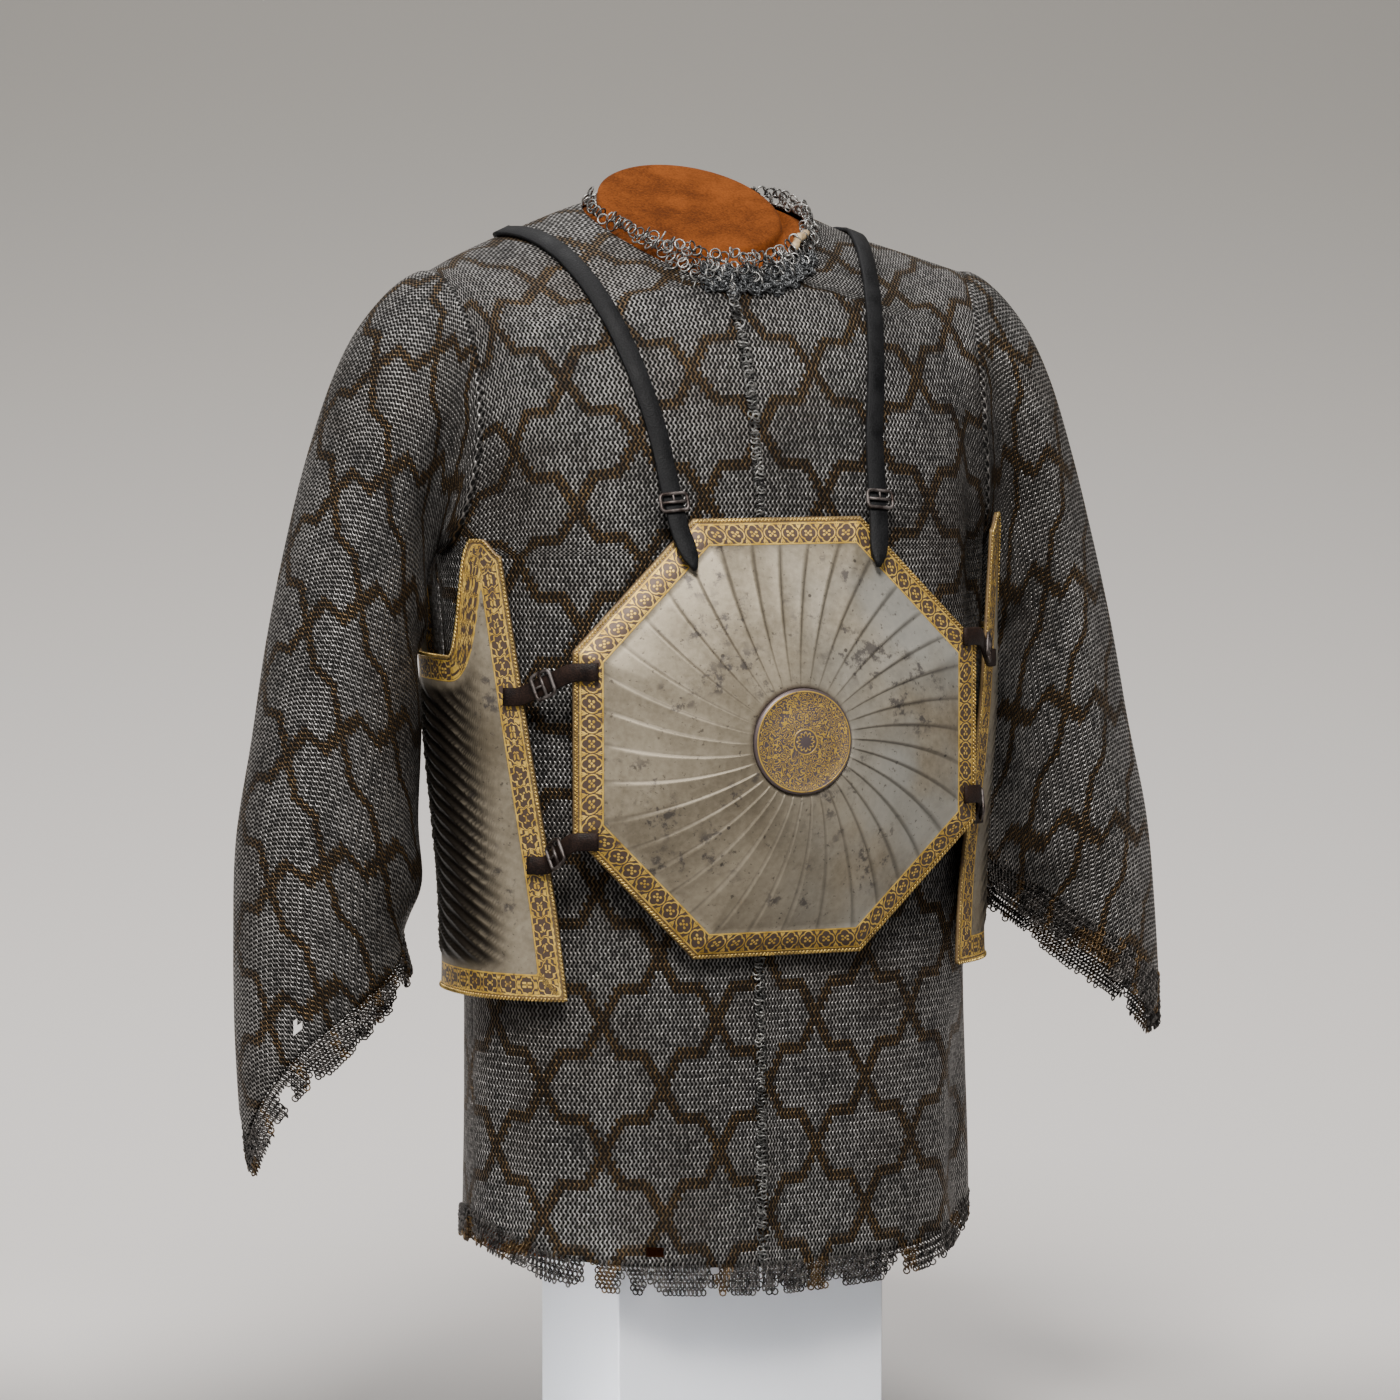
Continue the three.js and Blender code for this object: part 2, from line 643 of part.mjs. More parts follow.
function neckDiscPoint(turn, grow, drop) {
  const { halfWidth, halfDepth, y, z, tilt } = NECK_DISC;
  const forward = -(halfDepth + grow) * Math.cos(turn);
  const x = (halfWidth + grow) * Math.sin(turn);
  return new THREE.Vector3(x, y + forward * Math.cos(tilt), z + forward * Math.sin(tilt) - drop);
}

function torsoForm(name) {
  const inset = { out: FORM.inset, up: FORM.shoulderInset };
  const turns = Array.from({ length: FORM_COLUMNS }, (_, i) => (i / FORM_COLUMNS) * 2 * HALF_TURN);
  const onLevel = (level) =>
    turns.map((turn) => {
      const face = Math.cos(turn) >= 0 ? -1 : 1;
      const psi = Math.atan2(Math.sin(turn), Math.abs(Math.cos(turn)));
      return bodyPoint(psi, face, level, inset);
    });
  const neckBase = (turn) =>
    new THREE.Vector3(
      NECK_BASE.halfWidth * Math.sin(turn),
      NECK_BASE.y - NECK_BASE.halfDepth * Math.cos(turn),
      0,
    );
  const bottom = onLevel(0.06).map((p) => p.setZ(FORM.bottomZ));
  const shoulders = FORM_SHOULDERS.map((t) =>
    onLevel(1).map((p, i) => {
      const plan = p.lerp(neckBase(turns[i]), t);
      return plan.setZ(shoulderHeight(plan.x, plan.y, inset));
    }),
  );
  const neck = [
    turns.map((turn) => neckDiscPoint(turn, 0, 8)),
    turns.map((turn) => neckDiscPoint(turn, -0.5, 2)),
    turns.map((turn) => neckDiscPoint(turn, -2.5, 0)),
  ];
  const rings = [bottom, ...FORM_LEVELS.map(onLevel), ...shoulders, ...neck];
  return solidMesh(name, stackGeometry(rings), "suede");
}

function plinth(name) {
  const geometry = new THREE.BoxGeometry(PLINTH.width, PLINTH.depth, PLINTH.height);
  geometry.translate(0, 0, PLINTH.height / 2);
  return solidMesh(name, geometry, "plinth");
}

// The breast and back plates, drawn facing -Y about their own middle
const PLATE_COLUMNS = OCTAGON.flutes * 2;
const FLUTE_RINGS = [
  { share: 0, ridge: 0 },
  { share: 0.07, ridge: 1 },
  { share: 0.5, ridge: 1 },
  { share: 0.9, ridge: 0.9 },
  { share: 1, ridge: 0 },
];
const EIGHTH_TURN = HALF_TURN / 4;

// Distance from the middle to the octagon's edge in one direction, over half the distance across flats
function octagonStretch(turn) {
  const off = (((turn + EIGHTH_TURN / 2) % EIGHTH_TURN) + EIGHTH_TURN) % EIGHTH_TURN;
  return 1 / Math.cos(off - EIGHTH_TURN / 2);
}

// The dome is round at the middle, and its edge lies in one plane
function platePoint(turn, radius, proud) {
  const half = OCTAGON.acrossFlats / 2;
  const flat = radius / octagonStretch(turn);
  const depth = lerp(radius, flat, smoothstep(flat / half, 0.3, 1)) / half;
  const y = OCTAGON.rise * depth ** 2 - proud;
  return new THREE.Vector3(radius * Math.sin(turn), y, radius * Math.cos(turn));
}

function plateAt(x, z, proud) {
  return platePoint(Math.atan2(x, z), Math.hypot(x, z), proud);
}

const onBreast = new THREE.Matrix4().makeTranslation(0, BREAST_Y, PLATE_Z);
const onBack = new THREE.Matrix4()
  .makeTranslation(0, BACK_PLATE.y, PLATE_Z)
  .multiply(new THREE.Matrix4().makeRotationX(BACK_PLATE.tilt))
  .multiply(new THREE.Matrix4().makeRotationZ(HALF_TURN));

function octagonPlate(name, place) {
  const hole = MEDALLION.radius + MEDALLION.gap;
  const half = OCTAGON.acrossFlats / 2;
  const turns = Array.from({ length: PLATE_COLUMNS }, (_, k) => ((k + 0.5) / PLATE_COLUMNS) * 2 * HALF_TURN);
  const fluted = FLUTE_RINGS.map(({ share, ridge }) =>
    turns.map((turn, k) => {
      const swung = turn - FLUTE_TWIST * (1 - share);
      const edge = (half - OCTAGON.border) * lerp(octagonStretch(swung), octagonStretch(turn), share);
      const height = k % 2 === 0 ? OCTAGON.fluteHeight * ridge : 0;
      return { turn: swung, radius: lerp(hole, edge, share), height };
    }),
  );
  const rim = [
    { flat: half - RIM.width, height: 0 },
    { flat: half - RIM.width / 2, height: RIM.height },
    { flat: half, height: 0.2 },
  ].map(({ flat, height }) => turns.map((turn) => ({ turn, radius: flat * octagonStretch(turn), height })));
  const rings = [...fluted, ...rim];
  const outer = rings.map((ring) => ring.map((p) => platePoint(p.turn, p.radius, p.height)));
  const inner = rings.map((ring) => ring.map((p) => platePoint(p.turn, p.radius, -OCTAGON.thickness)));
  return solidMesh(name, wallGeometry(outer, inner, true).applyMatrix4(place), "steel");
}

function medallion(name, place) {
  const { radius, height } = MEDALLION;
  const edge = platePoint(0, radius, 0).y;
  const profile = [
    { r: 0, y: -height - 1 },
    { r: radius * 0.6, y: edge * 0.36 - height - 0.6 },
    { r: radius - 2, y: edge - height },
    { r: radius, y: edge - height + 1 },
    { r: radius, y: edge + OCTAGON.thickness },
    { r: 0, y: edge + OCTAGON.thickness },
  ].map(({ r, y }) => new THREE.Vector2(r, y));
  return solidMesh(name, new THREE.LatheGeometry(profile, 24).applyMatrix4(place), "gold");
}

// Side plates follow the shirt's side, moved out, with a horn before and behind the arm
const SIDE_COLUMNS = 17;
const SIDE_ROWS = 23;

// Half the plate's breadth as psi from the centre front, wider at the bottom
function sidePlateEdge(height) {
  return degToRad(lerp(45, 58, clamp(height, 0, 1)));
}

function sidePlateTop(across) {
  const fromEdge = 1 - Math.abs(across);
  const scoop = smoothstep(fromEdge, 0.28, 0.72);
  const rounded = 1 - smoothstep(fromEdge, 0, 0.18);
  return lerp(SIDE_PLATE.hornZ, SIDE_PLATE.scoopZ, scoop) - rounded * 11;
}

// across runs from -1 at the front edge to 1 at the back edge
function sidePlatePoint(across, z, proud, hand) {
  const { bottomZ, hornZ, offset } = SIDE_PLATE;
  const height = (z - bottomZ) / (hornZ - bottomZ);
  const psi = QUARTER_TURN - Math.abs(across) * (QUARTER_TURN - sidePlateEdge(height));
  const section = levelSection((z - HEM[2].z) / (ARMPIT_Z - HEM[2].z));
  const out = offset + proud + 5 * (1 - height) ** 2;
  section.halfWidth += out;
  section.front -= out;
  section.back += out;
  const plan = sectionPoint(section, psi, across < 0 ? -1 : 1);
  return new THREE.Vector3(hand * plan.x, plan.y, z);
}

function sidePlate(name, hand, rise) {
  const { bottomZ, thickness, flutes, fluteHeight } = SIDE_PLATE;
  const border = { side: 0.74, top: 0.88, bottom: 0.07 };
  const cell = (j, i) => ({ up: j / (SIDE_ROWS - 1), across: lerp(-1, 1, i / (SIDE_COLUMNS - 1)) });
  const grid = (height) =>
    Array.from({ length: SIDE_ROWS }, (_, j) =>
      Array.from({ length: SIDE_COLUMNS }, (__, i) => {
        const { up, across } = cell(j, i);
        const z = lerp(bottomZ, sidePlateTop(across), up);
        return sidePlatePoint(across, z, height(up, across), hand).setZ(z + rise);
      }),
    );
  const flute = (up, across) => {
    const onBorder = Math.abs(across) > border.side || up > border.top || up < border.bottom;
    const wave = 0.5 + 0.5 * Math.cos((up * flutes + Math.abs(across) * 2.5) * 2 * HALF_TURN);
    return thickness + (onBorder ? 0 : fluteHeight * wave);
  };
  const wall = wallGeometry(grid(flute), grid(() => 0), false);
  return solidMesh(name, hand > 0 ? wall : flipped(wall), "steel");
}

// Shoulder straps run from the breast plate's top corner over the ridge to the back plate's
const STRAP_FOOT = [
  { x: 66, z: 112 },
  { x: 69, z: 126 },
  { x: 73, z: 143 },
];
const STRAP_X = { low: 76, ridge: 128 };

function strapHalf(hand, face) {
  const place = face < 0 ? onBreast : onBack;
  const foot = STRAP_FOOT.map(({ x, z }) => {
    const point = plateAt(-face * hand * x, z, RIM.height + STRAP.clear + 2).applyMatrix4(place);
    const normal = new THREE.Vector3(0, -1, 0.25).transformDirection(place);
    return { point, normal };
  });
  const levels = faceRows(face).high.filter((level) => level > 1.15);
  const onMail = levels.map((level, i) => {
    const x = lerp(STRAP_X.low, STRAP_X.ridge, i / (levels.length - 1));
    const psi = psiForX(hand * x, level);
    const normal = bodyNormal(psi, face, Math.min(level, 1.98));
    if (level === 2) normal.setY(0).normalize();
    return { point: bodyPoint(psi, face, level).addScaledVector(normal, STRAP.clear), normal };
  });
  return [...foot, ...onMail];
}

function shoulderStrap(name, hand) {
  const path = [...strapHalf(hand, -1), ...strapHalf(hand, 1).slice(0, -1).reverse()];
  const points = path.map((p) => p.point);
  const normals = path.map((p) => p.normal);
  return solidMesh(name, strapGeometry(points, normals, STRAP.width, STRAP.thickness), "strap");
}

// A flat frame with a middle bar, lying on a strap: along is the strap's way, out faces away from it
function frameOnStrap(name, middle, along3, out, size) {
  const { length, width, bar, thickness } = size;
  const rectangle = (x0, y0, x1, y1) => [
    new THREE.Vector2(x0, y0),
    new THREE.Vector2(x1, y0),
    new THREE.Vector2(x1, y1),
    new THREE.Vector2(x0, y1),
  ];
  const outline = new THREE.Shape(rectangle(-length / 2, -width / 2, length / 2, width / 2));
  const halfHole = { length: length / 2 - bar, width: width / 2 - bar };
  const hole = (x0, x1, half) => new THREE.Path(rectangle(x0, -half, x1, half));
  outline.holes.push(hole(-halfHole.length, -bar / 2, halfHole.width));
  outline.holes.push(hole(bar / 2, halfHole.length, halfHole.width - 0.4));
  const geometry = new THREE.ExtrudeGeometry(outline, { depth: thickness, bevelEnabled: false });
  const across = out.clone().cross(along3).normalize();
  const straight = across.clone().cross(out).normalize();
  const basis = new THREE.Matrix4().makeBasis(straight, across, out.clone().normalize());
  geometry.applyMatrix4(basis.setPosition(middle));
  return solidMesh(name, geometry, "iron");
}

const LOOP = { length: 14, width: 21, bar: 2.4, thickness: 2.4 };
const BUCKLE = { length: 18, width: 19, bar: 2.4, thickness: 2.4 };

function strapLoop(name, hand, face) {
  const path = strapHalf(hand, face);
  const [edge, next] = [path[2], path[3]]; // the plate's rim and the first point above it
  const way = next.point.clone().sub(edge.point).normalize();
  const out = edge.normal.clone().add(next.normal).normalize();
  out.addScaledVector(way, -out.dot(way)).normalize();
  const lift = STRAP.thickness + SEAM_GAP + 0.6;
  const middle = edge.point.clone().lerp(next.point, 0.25).addScaledVector(out, lift);
  return frameOnStrap(name, middle, way, out, LOOP);
}

// Side straps bridge from the breast or back plate's edge to the side plate's edge
const SIDE_STRAPS = [
  { name: "upper", right: 571, left: 588, lift: 0, sideLift: 0.3 },
  { name: "lower", right: 460, left: 482, lift: 0.8, sideLift: 1.1 },
];

function sideStrapPath(hand, face, strap) {
  const z = hand > 0 ? strap.left : strap.right;
  const place = face < 0 ? onBreast : onBack;
  const half = OCTAGON.acrossFlats / 2;
  const fromMiddle = z - PLATE_Z;
  const edgeX = Math.min(half, half * Math.SQRT2 - Math.abs(fromMiddle) + SIDE_STRAP.width / 2);
  const rise = hand > 0 ? SIDE_PLATE_RISE.left : SIDE_PLATE_RISE.right;
  const clear = RIM.height + STRAP.clear + strap.lift;
  const onPlate = [edgeX - 14, edgeX + 1].map((x) => {
    const heights = [-1, 0, 1].map((side) => fromMiddle + (side * SIDE_STRAP.width) / 2);
    const points = heights.map((at) => plateAt(-face * hand * x, at, clear).applyMatrix4(place));
    const foremost = points.reduce((best, p) => (p.y * face > best.y * face ? p : best));
    return foremost.setZ(z);
  });
  const low = z - SIDE_STRAP.drop;
  const proud = SIDE_PLATE.thickness + STRAP.clear + strap.sideLift;
  const onSide = [1, 0.86].map((share) => sidePlatePoint(face * share, low - rise, proud, hand).setZ(low));
  return [...onPlate, ...onSide];
}

function sideStrap(name, hand, face, strap) {
  const path = sideStrapPath(hand, face, strap);
  const up = new THREE.Vector3(0, 0, 1);
  const normals = path.map((_, i) => {
    const before = path[Math.max(i - 1, 0)];
    const after = path[Math.min(i + 1, path.length - 1)];
    return after.clone().sub(before).cross(up).multiplyScalar(-face * hand).normalize();
  });
  return solidMesh(name, strapGeometry(path, normals, SIDE_STRAP.width, SIDE_STRAP.thickness), "brownStrap");
}

function sideBuckle(name, hand, face, strap) {
  const [, start, end] = sideStrapPath(hand, face, strap);
  const way = end.clone().sub(start).normalize();
  const out = way.clone().cross(new THREE.Vector3(0, 0, 1)).multiplyScalar(-face * hand).normalize();
  const middle = start.clone().lerp(end, 0.5).addScaledVector(out, SIDE_STRAP.thickness + SEAM_GAP + 0.4);
  return frameOnStrap(name, middle, way, out, BUCKLE);
}

const armour = new THREE.Group();
armour.add(plinth("plinth"), torsoForm("torso_form"));
armour.add(frontPanel("mail_front_right", -1), frontPanel("mail_front_left", 1), backPanel("mail_back"));
armour.add(sleeve("mail_sleeve_right", -1, CUFFS.right, SLEEVE_SWING.right));
armour.add(sleeve("mail_sleeve_left", 1, CUFFS.left, SLEEVE_SWING.left));
armour.add(collar("mail_collar"));
armour.add(octagonPlate("breast_plate", onBreast), medallion("breast_medallion", onBreast));
armour.add(octagonPlate("back_plate", onBack), medallion("back_medallion", onBack));

const HANDS = [
  { side: "right", hand: -1 },
  { side: "left", hand: 1 },
];
const FACES = [
  { end: "front", face: -1 },
  { end: "back", face: 1 },
];
HANDS.forEach(({ side, hand }) => {
  armour.add(sidePlate(`side_plate_${side}`, hand, SIDE_PLATE_RISE[side]));
  armour.add(shoulderStrap(`shoulder_strap_${side}`, hand));
  FACES.forEach(({ end, face }) => {
    armour.add(strapLoop(`loop_${end}_${side}`, hand, face));
    SIDE_STRAPS.forEach((strap) => {
      const tag = `${strap.name}_${end}_${side}`;
      armour.add(sideStrap(`side_strap_${tag}`, hand, face, strap));
      armour.add(sideBuckle(`buckle_${tag}`, hand, face, strap));
    });
  });
});

export default armour;
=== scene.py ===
"""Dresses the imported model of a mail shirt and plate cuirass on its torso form.

Sizes in the tables are millimetres in the model's own frame: +Z up, the wearer faces -Y.
Meshes are made in metres.
"""

import math
from functools import partialmethod

import bmesh
import bpy
import numpy as np
from mathutils import Euler, Matrix, Vector


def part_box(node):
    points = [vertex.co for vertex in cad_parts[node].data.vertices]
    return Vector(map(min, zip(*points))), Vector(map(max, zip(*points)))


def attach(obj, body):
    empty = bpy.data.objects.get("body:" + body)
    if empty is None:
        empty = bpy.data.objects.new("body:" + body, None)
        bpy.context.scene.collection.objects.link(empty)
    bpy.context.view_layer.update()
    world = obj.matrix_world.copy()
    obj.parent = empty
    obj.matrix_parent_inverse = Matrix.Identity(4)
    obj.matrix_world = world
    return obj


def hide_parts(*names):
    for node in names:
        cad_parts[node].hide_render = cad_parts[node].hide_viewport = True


MM = 0.001
BODY = "root"
QUARTER = math.pi / 2

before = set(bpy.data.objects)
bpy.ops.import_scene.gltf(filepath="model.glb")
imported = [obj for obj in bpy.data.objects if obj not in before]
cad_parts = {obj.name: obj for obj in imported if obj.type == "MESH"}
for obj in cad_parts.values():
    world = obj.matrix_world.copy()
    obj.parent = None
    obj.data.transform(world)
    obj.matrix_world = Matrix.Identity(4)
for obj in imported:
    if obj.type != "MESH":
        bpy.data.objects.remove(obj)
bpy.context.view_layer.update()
rng = np.random.default_rng(11)

# The shirt
ARMPIT_Z = 645
CHEST_HALF_WIDTH = 196
SHOULDER_TIP_X = 200
FRONT_OPENING_X = -10
NECK_HOLE = {"half_width": 80, "half_depth": 76, "y": 22}
ARMHOLE = {
    "open": math.radians(25), "roundness": 0.4, "narrowing": 0.2,
    "swell": 12, "swell_roundness": 0.8, "swell_reach": 0.24,
}
MAIL_THICKNESS = 1.8
HEM_BAND = 20  # height of the hem that is linked ring by ring
CUFF_BAND = 30

SECTIONS = {
    "share": (0.0, 0.24, 0.48, 0.74, 1.0),
    "half_width": (179, 177, 178, 189, 196),
    "front": (-112, -109, -105, -110, -107),
    "back": (95, 92, 91, 105, 122),
    "square": (2.25, 2.3, 2.35, 2.4, 2.45),
}
RIDGE = {
    "x": (0, 65, 128, 170, 200),
    "y": (58, 60, 60, 40, 19),
    "z": (892, 880, 857, 842, 830),
}
HEM = {"angle": (0, 45, 90, 135, 180), "z": (150, 158, 181, 172, 165)}
SLEEVE = {
    "top_x": (200, 227, 250, 270, 287, 301, 312, 324, 327, 327, 323, 318),
    "top_z": (830, 811, 772, 715, 652, 588, 522, 455, 390, 320, 250, 180),
    "under_x": (196, 202, 206, 207, 206, 207, 209, 211, 214, 218, 223, 228),
    "under_z": (645, 632, 612, 583, 545, 503, 458, 412, 366, 322, 278, 234),
    "centre_y": (22, 24, 27, 30, 31, 31, 31, 30, 28, 26, 25, 24),
    "half_depth": (58, 64, 67, 68, 68, 68, 68, 68, 67, 65, 63, 61),
}
SLEEVE["share"] = tuple(np.linspace(0, 1, len(SLEEVE["top_x"])))
CUFFS = {
    "right": {
        "angle": (0, 40, 75, 110, 150, 200, 260, 310, 360),
        "z": (224, 272, 304, 334, 366, 366, 322, 262, 224),
    },
    "left": {
        "angle": (0, 45, 90, 140, 190, 250, 310, 360),
        "z": (290, 308, 338, 374, 396, 368, 322, 290),
    },
}
SLEEVE_SWING = {"right": 0, "left": 26}
SWING_BEND = 1.5
SLEEVE_LEAD = 90  # how far the armhole's edge is carried outwards where it turns into the sleeve
SLEEVE_JOIN = 0.17  # share of the sleeve over which it does so
TUCK = {"inward": 0.7, "under": 1.2}
SLEEVE_FOLDS = {
    "along": (0.16, 0.25, 0.32, 0.18, 0.61, 0.68, 0.74, 0.57, 0.51),
    "angle": (118, 150, 165, 245, 140, 150, 140, 300, 60),
    "length": (0.14, 0.05, 0.045, 0.13, 0.05, 0.045, 0.05, 0.2, 0.22),
    "spread": (26, 46, 60, 28, 40, 40, 36, 22, 24),
    "depth": (-13, 7, -7, -11, 6, -7, 6, -6, -4),
}
BODY_FOLDS = {
    "angle": (62, 80, -70, -60, 60, 120, 145, -130, -158),
    "z": (230, 220, 250, 640, 640, 260, 250, 250, 240),
    "up": (90, 100, 90, 60, 60, 110, 110, 110, 100),
    "across": (9, 8, 9, 10, 10, 10, 9, 10, 9),
    "depth": (-6, 4, -4, -7, -7, -7, 5, -7, 5),
}
FOLDS_FADE = (0.3, 0.9)  # levels below the ridge between which folds fade out
ARMHOLE_LEVELS = (1, 1.1, 1.2, 1.3, 1.4, 1.48, 1.55, 1.62, 1.69, 1.76, 1.84, 1.92, 2)
# Each tear: the x, y and z of its middle, its width and its height
TEARS = {
    "mail_front_right": ((-44, -108, 170, 8, 8), (-84, -100, 184, 9, 12)),
    "mail_front_left": (),
    "mail_back": (),
    "mail_sleeve_right": ((-306, -22, 337, 6, 9), (-312, -18, 288, 8, 16)),
    "mail_sleeve_left": (),
}
HEM_TEARS = (
    (-126, -78, 164, 10, 34), (-104, -90, 158, 8, 26), (96, -94, 160, 9, 22), (92, 80, 170, 10, 26),
)
TEAR_DEPTH = 30  # how far a tear reaches from its middle, before and behind
BODY_COLUMNS = 64
LOW_ROWS = 72
NECK_ROWS = {"below": 40, "above": 26}
SLEEVE_COLUMNS = 104
SLEEVE_ROWS = 120
LENGTH_SAMPLES = 60
BISECTIONS = 26

# The form
FORM_COLUMNS = 120
FORM = {
    "bottom_z": 177, "inset": 12, "shoulder_inset": 2, "foot_level": 0.06, "foot_share": 0.985,
    "foot_round": 3, "body_rings": 16, "shoulder_rings": 26,
}
NECK_BASE = {"half_width": 71, "half_depth": 58, "y": 24}
NECK_TOP = (  # inset and drop of each ring of the neck's rounded top
    (0, 8), (-0.2, 4), (-0.9, 1.4), (-2.6, 0.2), (-5, 0), (-20, -0.4), (-40, -0.6), (-58, -0.7),
)
NECK_DISC = {"half_width": 65, "half_depth": 62, "y": 38, "z": 876, "tilt": math.radians(30)}

# The plates, straps and loops
OCTAGON = {
    "across_flats": 291, "border": 18, "rise": 43, "thickness": 2, "flutes": 36, "flute_height": 2.2,
    "columns": 36 * 16, "rings": 29, "first_column": 7,
}
FLUTE_TWIST = math.radians(10)
BREAST_FLUTE = {"crest": 0.86, "foot": 0.97}
SIDE_FLUTE = {"crest": 0.74, "foot": 0.96}
BORDER_ROWS = ((17.2, 0.5), (3.5, 0.5), (3, 0.1), (0.4, 0.1), (0, 0))  # inset and height of each
MEDALLION = {"radius": 35, "height": 2.4, "gap": 0.3}
RIM = {"width": 3, "height": 1.6}
BORDER = {"pitch": 14.5, "middle": 10.4}
EDGE_STEPS = 320
EDGE_ROUND = BORDER["pitch"] * 66  # the octagon's edge holds a whole number of border panels
PLATE_Z = 524
BREAST_Y = -155
BACK_PLATE = {"y": 156, "tilt": math.radians(-6)}
SIDE_PLATE = {
    "bottom_z": 352, "horn_z": 656, "scoop_z": 578, "offset": 8, "thickness": 2, "middle": (200, 7, 480),
    "flute_pitch": 9.2, "flute_height": 2.6, "flute_slant": 4.6, "columns": 101, "rows": 130,
    "edge_angle": (45, 58), "foot_flare": 5, "horn_round": 11,
}
SIDE_PLATE_RISE = {"right": 0, "left": 12}
STRAP = {"width": 13, "thickness": 3, "clear": 0.9}
STRAP_FOOT = {"x": (66, 69, 73), "z": (112, 126, 143), "rows": 9}
STRAP_X = {"low": 76, "ridge": 128}
SIDE_STRAP = {"width": 12, "thickness": 2.4, "drop": 18}
SIDE_STRAPS = {
    "upper": {"right": 571, "left": 588, "lift": 0.0, "side_lift": 0.3},
    "lower": {"right": 460, "left": 482, "lift": 0.8, "side_lift": 1.1},
}
LOOP = (14, 21, 2.4, 2.4)  # length, width, bar and thickness
BUCKLE = (18, 19, 2.4, 2.4)
BAR_BEND = 3.0  # radius of a buckle's corners
STRAND = {"radius": 0.8, "wire": 0.62, "steps": 6, "wire_steps": 4}
STRAND_PITCH = 2.6
STRAND_SLANT = 0.75
STRAND_STRETCH = (1.5, 0.62, 1.0)
ON_BREAST = Matrix.Translation((0, BREAST_Y, PLATE_Z))
ON_BACK = (
    Matrix.Translation((0, BACK_PLATE["y"], PLATE_Z))
    @ Matrix.Rotation(BACK_PLATE["tilt"], 4, "X")
    @ Matrix.Rotation(math.pi, 4, "Z")
)
OCTAGON_PLACES = {"breast": ON_BREAST, "back": ON_BACK}
HANDS = {"right": -1, "left": 1}
FACES = {"front": -1, "back": 1}

# The weave
RING_PITCH = 3.1  # along a row
ROW_PITCH = 2.55  # from row to row
SLEEVE_ROUND = ROW_PITCH * 168
LATTICE = {
    "width": SLEEVE_ROUND / 5, "height": 87, "band": 3.7, "start_u": -134, "start_v": -396,
    "slant": 0.6,
}
LATTICE_LEAN = math.hypot(LATTICE["slant"] * LATTICE["width"] / LATTICE["height"], 1)
LATTICE_STEP = (1 - LATTICE["slant"]) * LATTICE["width"] / 4  # half the length of a level step
SLEEVE_START = 120  # the lattice's place at the armhole
SMALL_RING = {"radius": 2.05, "wire": 0.64, "steps": 8, "wire_steps": 3}
LARGE_RING = {"radius": 3.5, "wire": 0.62, "steps": 14, "wire_steps": 5}
RING_LEAN = math.radians(38)
RING_SWAY = 0.12
RING_DEPTH = 0.9  # a ring's middle below the cloth's outer face
DEEPEST_LOSS = {"hem": 12, "cuff": 17}
EDGE_WAVES = (5, 11, 23, 47)
EDGE_FRAY = 2.0
OPENING = {
    "low_rows": 190, "high_rows": 90, "foot": 0.05, "top": 1.55, "beside": (-1.4, 1.2),
    "sway": 0.5, "lost": 0.12, "tilt": 0.35, "proud": 0.5,
}
COLLAR = {"pitch": 4.6, "sway": (0.6, 0.8, 1.2), "lean": 0.55, "lean_sway": 0.35, "tilt_sway": 0.25}
COLLAR_STRANDS = {
    "from_turn": (-180, -70, -48, -40, -34, -30, 30),
    "to_turn": (180, 180, 60, 58, 52, 46, 75),
    "height": (4, 8, 11, 5, 1, -4, 6),
    "out": (-4, -3, -4, 0, 1, 3, -1),
}
CRUMPLED = {"count": 620, "turn": (-20, 46), "out": (-4, 8), "lift": (0.2, 1.4)}
TOGGLE = ((0.6, -7), (2.6, -6.4), (3.1, -3), (2.5, 0), (3.1, 3), (2.6, 6.4), (0.6, 7))

# Colours, from dark to light where there are two
SHADES = {
    "steel": ((0.085, 0.08, 0.077), (0.5, 0.475, 0.455)),
    "brass": ((0.035, 0.021, 0.011), (0.175, 0.108, 0.047)),
    "hem_rings": ((0.016, 0.014, 0.013), (0.16, 0.145, 0.135)),
    "collar_rings": ((0.06, 0.058, 0.056), (0.44, 0.43, 0.41)),
    "crumpled_rings": ((0.03, 0.032, 0.034), (0.22, 0.225, 0.23)),
    "plate": ((0.215, 0.176, 0.118), (0.475, 0.405, 0.298)),
    "gold": ((0.66, 0.4, 0.06), (1.0, 0.66, 0.14)),
    "rope": ((0.4, 0.27, 0.1), (1.0, 0.7, 0.2)),
    "medallion": ((0.12, 0.09, 0.095), (0.24, 0.19, 0.19)),
    "black_leather": ((0.003, 0.003, 0.0035), (0.015, 0.015, 0.016)),
    "brown_leather": ((0.007, 0.0045, 0.004), (0.034, 0.018, 0.013)),
    "iron": ((0.05, 0.035, 0.03), (0.26, 0.23, 0.22)),
    "suede": ((0.055, 0.014, 0.003), (0.25, 0.068, 0.012)),
    "plinth": ((0.9, 0.91, 0.96), (0.93, 0.94, 0.98)),
    "bone": ((0.24, 0.15, 0.07), (0.62, 0.46, 0.26)),
}
# Painted shade in the holes of the woven mail
GAP_PAINTED_SHADE = (0.005, 0.0045, 0.004)
RUST = (0.12, 0.09, 0.068)
# Partly patina, partly painted reflection, on the plates' +x side
PLATE_PATINA_AND_REFLECTION = (0.5, 0.515, 0.5)
PLATE_STAIN = (0.075, 0.065, 0.064)
PLATE_PIT = (0.05, 0.042, 0.036)
# Painted shade on the plates: dark groove lines and the side plates' dark middle
PLATE_PAINTED_SHADE = (0.018, 0.013, 0.009)
BORDER_GROUND = (0.12, 0.08, 0.06)
SHEEN_TINT = (0.9, 0.5, 0.25, 1)
